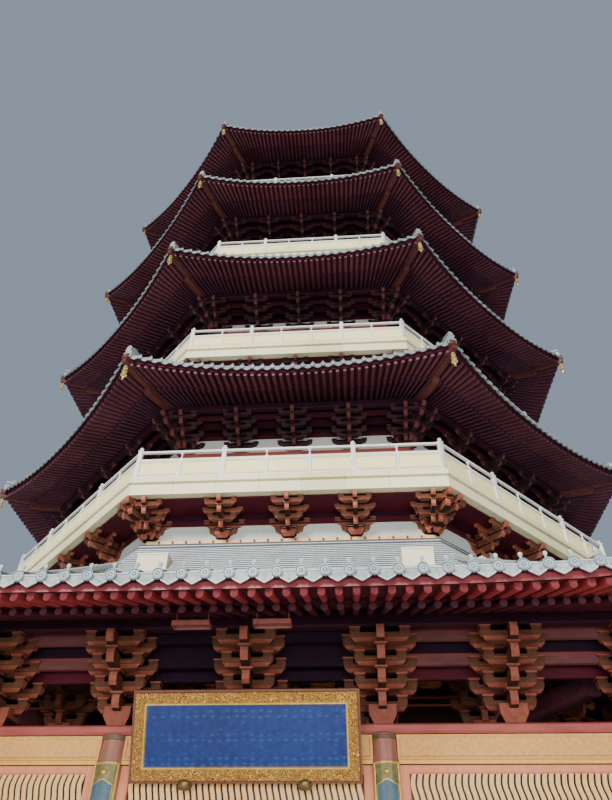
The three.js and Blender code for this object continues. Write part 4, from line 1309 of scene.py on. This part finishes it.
# The balconies: a cream stone slab in two steps with a groove between, its face made of panels, and
# a stone railing: square posts with ball tops, fielded panels, and a rail on vase-shaped struts.
cream_stone = finish("cream_stone", (0.72, 0.68, 0.42), (0.92, 0.89, 0.62), 0.55, fine=30.0, relief=0.12)
slab_row = node(cream_stone.node_tree, "TexBrick", {
    "Vector": place_on(cream_stone.node_tree, "courses"), "Scale": 1.0, "Mortar Size": 0.008,
    "Brick Width": 1.32, "Row Height": 4.0, "Color1": (1, 1, 1, 1), "Color2": (0.86, 0.86, 0.74, 1),
    "Mortar": (0.5, 0.48, 0.38, 1),
})
patterned(cream_stone, slab_row.outputs["Color"])
panel_stone = finish("railing_panel_stone", (0.82, 0.75, 0.35), (0.98, 0.9, 0.48), 0.55, fine=30.0,
                     relief=0.12)
rail_stone = finish("rail_stone", (0.56, 0.6, 0.6), (0.8, 0.83, 0.81), 0.5, fine=30.0, relief=0.12)
POST_TOP, PANEL_TOP, RAIL_FOOT, RAIL_TOP = 1.06, 0.66, 0.99, 1.08


def rail_post(x, height, width):
    """A square post with a ball on a turned neck."""
    post = timber((x - width / 2, -width / 2, 0), (x + width / 2, width / 2, height))
    open_up(post, "FACE", on_top)
    draw_out((0, 0, 0.02), (1.2, 1.2, 1), (x, 0, height))
    draw_out((0, 0, 0.03))
    close_up()
    ball = [[0.035, 0.05], [0.032, 0.075], [0.058, 0.1], [0.068, 0.13], [0.055, 0.165], [0.02, 0.185]]
    return join([post, round_off(turned([[radius, height + up] for radius, up in ball], 10, x))])


def panel(left, right, foot, top, thickness):
    """A stone or timber panel with a raised border on both faces."""
    return bordered(timber((left, -thickness / 2, foot), (right, thickness / 2, top)), front_or_back,
                    (0.035, 0.0), (0.006, -0.02), (0.012, 0.0), (0.006, 0.015), each=True)


RAIL_BAYS = 7
TALL = (0, 2, 5)  # the bays that start with a tall post
STRUT = [[0.02, 0.76], [0.035, 0.79], [0.035, 0.82], [0.02, 0.86], [0.022, 0.9], [0.06, 0.96], [0.065, 1.0]]
for level, s in STOREYS.items():
    deck, foot = s["deck"], s["balcony_foot"]
    profile = [[deck - 0.06, foot], [deck - 0.06, foot + 0.36], [deck - 0.1, foot + 0.37],
               [deck - 0.1, foot + 0.4], [deck, foot + 0.42], [deck, foot + 0.58],
               [deck - 0.05, foot + 0.62], [deck - 0.08, s["floor"]]]
    slab = turned([[half * TO_CORNER, height] for half, height in profile], 8)
    slab.data.transform(turn(22.5))
    note_places(slab, lambda point: (point.x + 20.0, point.z - foot + 1.0), "normal").name = "courses"
    settle(paint(slab, cream_stone), f"{level}_balcony_slab", "pale_stone", f"{level}_floor")

    line = deck - (0.3 if level == "fifth" else 0.2)  # from the entrance only the top one's rail is seen
    half_face = line * EDGE
    xs = [-half_face + 2 * half_face * bay / RAIL_BAYS for bay in range(RAIL_BAYS + 1)]
    stone, panels = [], []
    for bay, x in enumerate(xs[:-1]):
        if bay in TALL:
            stone.append(rail_post(x, POST_TOP, 0.135))
        else:
            stone.append(timber((x - 0.05, -0.055, 0.0), (x + 0.05, 0.055, 0.76)))
            stone.append(round_off(turned(STRUT, 10, x)))
        panels.append(panel(x + 0.06, xs[bay + 1] - 0.06, 0.14, PANEL_TOP, 0.06))
    stone.append(timber((-half_face, -0.05, 0.0), (half_face, 0.05, 0.1)))
    stone.append(timber((-half_face, -0.045, PANEL_TOP), (half_face, 0.045, 0.75)))
    rail = timber((-half_face, -0.05, RAIL_FOOT), (half_face, 0.05, RAIL_TOP))
    stone.append(eased(rail, running(0), 0.028))
    for parts, material, name, cad_nodes in (
        (stone, rail_stone, "railing_stone", [f"{level}_railing"]),
        (panels, panel_stone, "railing_panels", []),
    ):
        railing = paint(join(parts), material)
        railing.data.transform(move(0, -line, s["floor"]))
        settle(round_the_tower(railing), f"{level}_{name}", "pale_stone", *cad_nodes)

# The wall under each balcony stands on a gilded sill with a row of studs, and is plastered up to the
# sets. The porch roof has its stepped ridge there, with two pale stone lamp boxes let into each face.
sill_orange = finish("sill_orange", (0.6, 0.3, 0.1), (0.88, 0.54, 0.24), 0.45)
STUD_PITCH = 0.42
for level, s in STOREYS.items():
    foot, half = s["sets_foot"], s["base"]
    low = foot - 0.14
    sill = octagon_ring([[half - 0.08, low], [half + 0.09, low], [half + 0.09, low + 0.1],
                         [half + 0.03, low + 0.14], [half - 0.08, low + 0.14]])
    settle(paint(sill, sill_orange), f"{level}_wall_sill", "red_timber")
    stud = timber((-0.03, -half - 0.12, low + 0.02), (0.03, -half - 0.08, low + 0.08))
    count = int(2 * half * EDGE / STUD_PITCH)
    stud_row = row_of(stud, (np.arange(count) - (count - 1) / 2) * STUD_PITCH)
    put_round([stud_row], arm_brown, f"{level}_sill_studs", "red_timber")
    foot_wall = squared_ring(half - 0.1, half - 0.02, low - 0.1, foot, panel_white)
    settle(foot_wall, f"{level}_foot_wall", "wall_panel")
pale_box = finish("lamp_box_stone", (0.66, 0.58, 0.4), (0.84, 0.76, 0.56), 0.6)
boxes = []
for x in (-3.66, 3.66):
    box = timber((x - 0.43, -11.86, 9.3), (x + 0.43, -11.25, 10.0))
    boxes.append(bordered(box, in_front, (0.05, 0.0), (0.012, -0.015)))
put_round(boxes, pale_box, "roof_lamp_boxes", "pale_stone")

# The upper storeys' walls: painted panels between round columns, with lattice windows, a doorway on
# each main side and a tan lintel under the plate. The solid wall stays and the joinery is put on it.
wall_paint = finish("wall_panel_paint", (0.3, 0.13, 0.08), (0.46, 0.22, 0.14), 0.55)
WALL_TOP, WINDOW_TOP = 2.21, 2.0


def lattice_light(left, right, foot, top, y):
    """The frame of a window, and its upright and level bars."""
    bar = timber((left + 0.08, y - 0.03, foot + 0.07), (left + 0.1, y - 0.01, top - 0.07))
    count = max(3, int((right - left - 0.16) / 0.12))
    uprights = row_of(bar, np.linspace(0.08, right - left - 0.26, count))
    level_bar = timber((left + 0.07, y - 0.025, 0), (right - 0.07, y - 0.008, 0.02))
    heights = [foot + (top - foot) * share for share in (0.2, 0.26, 0.48, 0.54, 0.76, 0.82)]
    return [
        timber((left, y - 0.05, foot), (left + 0.08, y + 0.03, top)),
        timber((right - 0.08, y - 0.05, foot), (right, y + 0.03, top)),
        timber((left + 0.08, y - 0.05, foot), (right - 0.08, y + 0.03, foot + 0.08)),
        timber((left + 0.08, y - 0.05, top - 0.08), (right - 0.08, y + 0.03, top)),
        uprights, copies(level_bar, [move(0, 0, z) for z in heights]),
    ]


for level, s in STOREYS.items():
    paint(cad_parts[f"{level}_wall"], wall_paint)
    base, half = s["floor"], s["wall"]
    y = -half
    corner = half * EDGE
    for name, slot, material, profile in (
        ("columns", "red_timber", column_paint, [[0.17, 0.1], [0.165, WALL_TOP]]),
        ("drums", "grey_stone", granite, [[0.24, 0], [0.24, 0.05], [0.2, 0.1], [0.18, 0.12]]),
    ):
        post = round_off(turned([[radius, base + up] for radius, up in profile], 14))
        posts = row_of(post, (-corner, -corner / 2 + 0.05, corner / 2 - 0.05), y - 0.05)
        put_round([posts], material, f"{level}_{name}", slot)
    lintel = octagon_ring([[half - 0.05, base + 2.02], [half + 0.09, base + 2.02],
                           [half + 0.11, base + 2.05], [half + 0.11, base + 2.18],
                           [half + 0.09, base + WALL_TOP], [half - 0.05, base + WALL_TOP]])
    settle(paint(lintel, tan_paint), f"{level}_lintel", "tan_timber")
    plate = octagon_ring([[half - 0.2, base + WALL_TOP], [half + 0.17, base + WALL_TOP],
                          [half + 0.2, base + WALL_TOP + 0.03], [half + 0.2, base + SET_FOOT],
                          [half - 0.2, base + SET_FOOT]])
    settle(paint(plate, tie_red), f"{level}_plate", "red_timber")
    lights, glass = [], []
    for left, right in ((-corner + 0.2, -corner / 2 - 0.13), (corner / 2 + 0.13, corner - 0.2)):
        lights += lattice_light(left, right, base + 0.85, base + WINDOW_TOP, y)
        glass.append(timber((left + 0.03, y - 0.01, base + 0.88), (right - 0.03, y + 0.01, base + 1.97)))
        lights.append(panel(left, right, base + 0.12, base + 0.8, 0.06))
        lights[-1].data.transform(move(0, y))
    put_round(lights, salmon, f"{level}_lattice_windows", "tan_timber")
    put_round(glass, dark_glass, f"{level}_window_glass", "tan_timber")
    middle_window = lattice_light(-1.08, 1.08, base + 0.82, base + WINDOW_TOP, y + 0.02)
    put_round(middle_window, salmon, f"{level}_middle_windows", "tan_timber", first=1, step=2)
    door_frame = [timber((start, y - 0.07, base + foot), (end, y + 0.1, base + 2.16))
                  for start, end, foot in ((-0.95, -0.85, 0), (0.85, 0.95, 0), (-0.85, 0.85, 2.07))]
    put_round(door_frame, salmon, f"{level}_door_frames", "tan_timber", step=2)

# The spire, gilded bronze over a mast: a bowl-shaped seat on lotus steps, seven rings that shrink
# upwards, a canopy, and a jewel. It follows the spires that such towers carry.
spire_gilt = finish("spire_gilt", (0.55, 0.35, 0.07), (0.9, 0.64, 0.2), 0.28, 0.9, relief=0.12)


def raised_to(foot, profile):
    return [[radius, foot + height] for radius, height in profile]


seat_foot = ROOFS["fifth"]["top"] + 0.33
seat = turned(raised_to(seat_foot, [
    [1.24, 0.0], [1.24, 0.16], [1.16, 0.2], [0.98, 0.26], [0.93, 0.32], [0.93, 0.54], [0.98, 0.6],
    [1.16, 0.68], [1.2, 0.74], [1.2, 0.86]]), 8)
seat.data.transform(turn(22.5))
settle(paint(seat, spire_gilt), "spire_octagon_seat", "gilt", "spire_seat")

mast_foot = seat_foot + 0.86
rings_foot, rings_top, ring_count = mast_foot + 1.5, mast_foot + 9.3, 7
profile = raised_to(mast_foot, [
    [0.72, 0], [0.86, 0.08], [1.04, 0.28], [1.16, 0.5], [1.15, 0.8], [1.06, 1.05], [0.84, 1.25], [0.6, 1.38],
    [0.44, 1.44], [0.42, 1.5]])
ring_pitch = (rings_top - rings_foot) / ring_count
for ring in range(ring_count):
    radius, foot = 0.97 - 0.075 * ring, rings_foot + ring_pitch * ring
    profile += [[reach, foot + ring_pitch * share] for share, reach in (
        (0.14, 0.2), (0.18, 0.3), (0.3, 0.32), (0.36, radius * 0.9), (0.42, radius), (0.58, radius),
        (0.64, radius * 0.9), (0.7, 0.32), (0.82, 0.3), (0.86, 0.2))]
profile += raised_to(rings_top, [
    [0.2, 0.0], [0.5, 0.08], [0.84, 0.25], [0.9, 0.35], [0.88, 0.42], [0.86, 0.55], [0.8, 0.64],
    [0.5, 0.82], [0.22, 1.02], [0.16, 1.12], [0.15, 2.0], [0.3, 2.08], [0.5, 2.35], [0.56, 2.6],
    [0.56, 2.85], [0.48, 3.12], [0.3, 3.34], [0.14, 3.5], [0.13, 3.56], [0.26, 3.72], [0.33, 3.92],
    [0.32, 4.14], [0.26, 4.32], [0.15, 4.55], [0.08, 4.8], [0.06, 5.2], [0.04, 5.7], [0.02, 6.06]])
settle(round_off(paint(turned(profile, 32), spire_gilt), 35), "spire_rings", "gilt", "spire_mast")

# Two strip lights hang on rods under the porch eave, over the entrance: shallow timber trays.
tray_paint = finish("tray_orange", (0.12, 0.028, 0.02), (0.2, 0.055, 0.04), 0.6)
trays = []
for x in (-0.58, 0.63):
    tray = timber((x - 0.28, -18.4, 5.22), (x + 0.28, -18.2, 5.29))
    trays.append(bordered(tray, underneath, (0.02, 0.0), (0.01, -0.03)))
    trays += [turned([[0.008, 5.28], [0.008, 5.5]], 8, x + side, -18.3) for side in (-0.24, 0.24)]
settle(paint(join(trays), tray_paint), "strip_light_trays", "tan_timber")
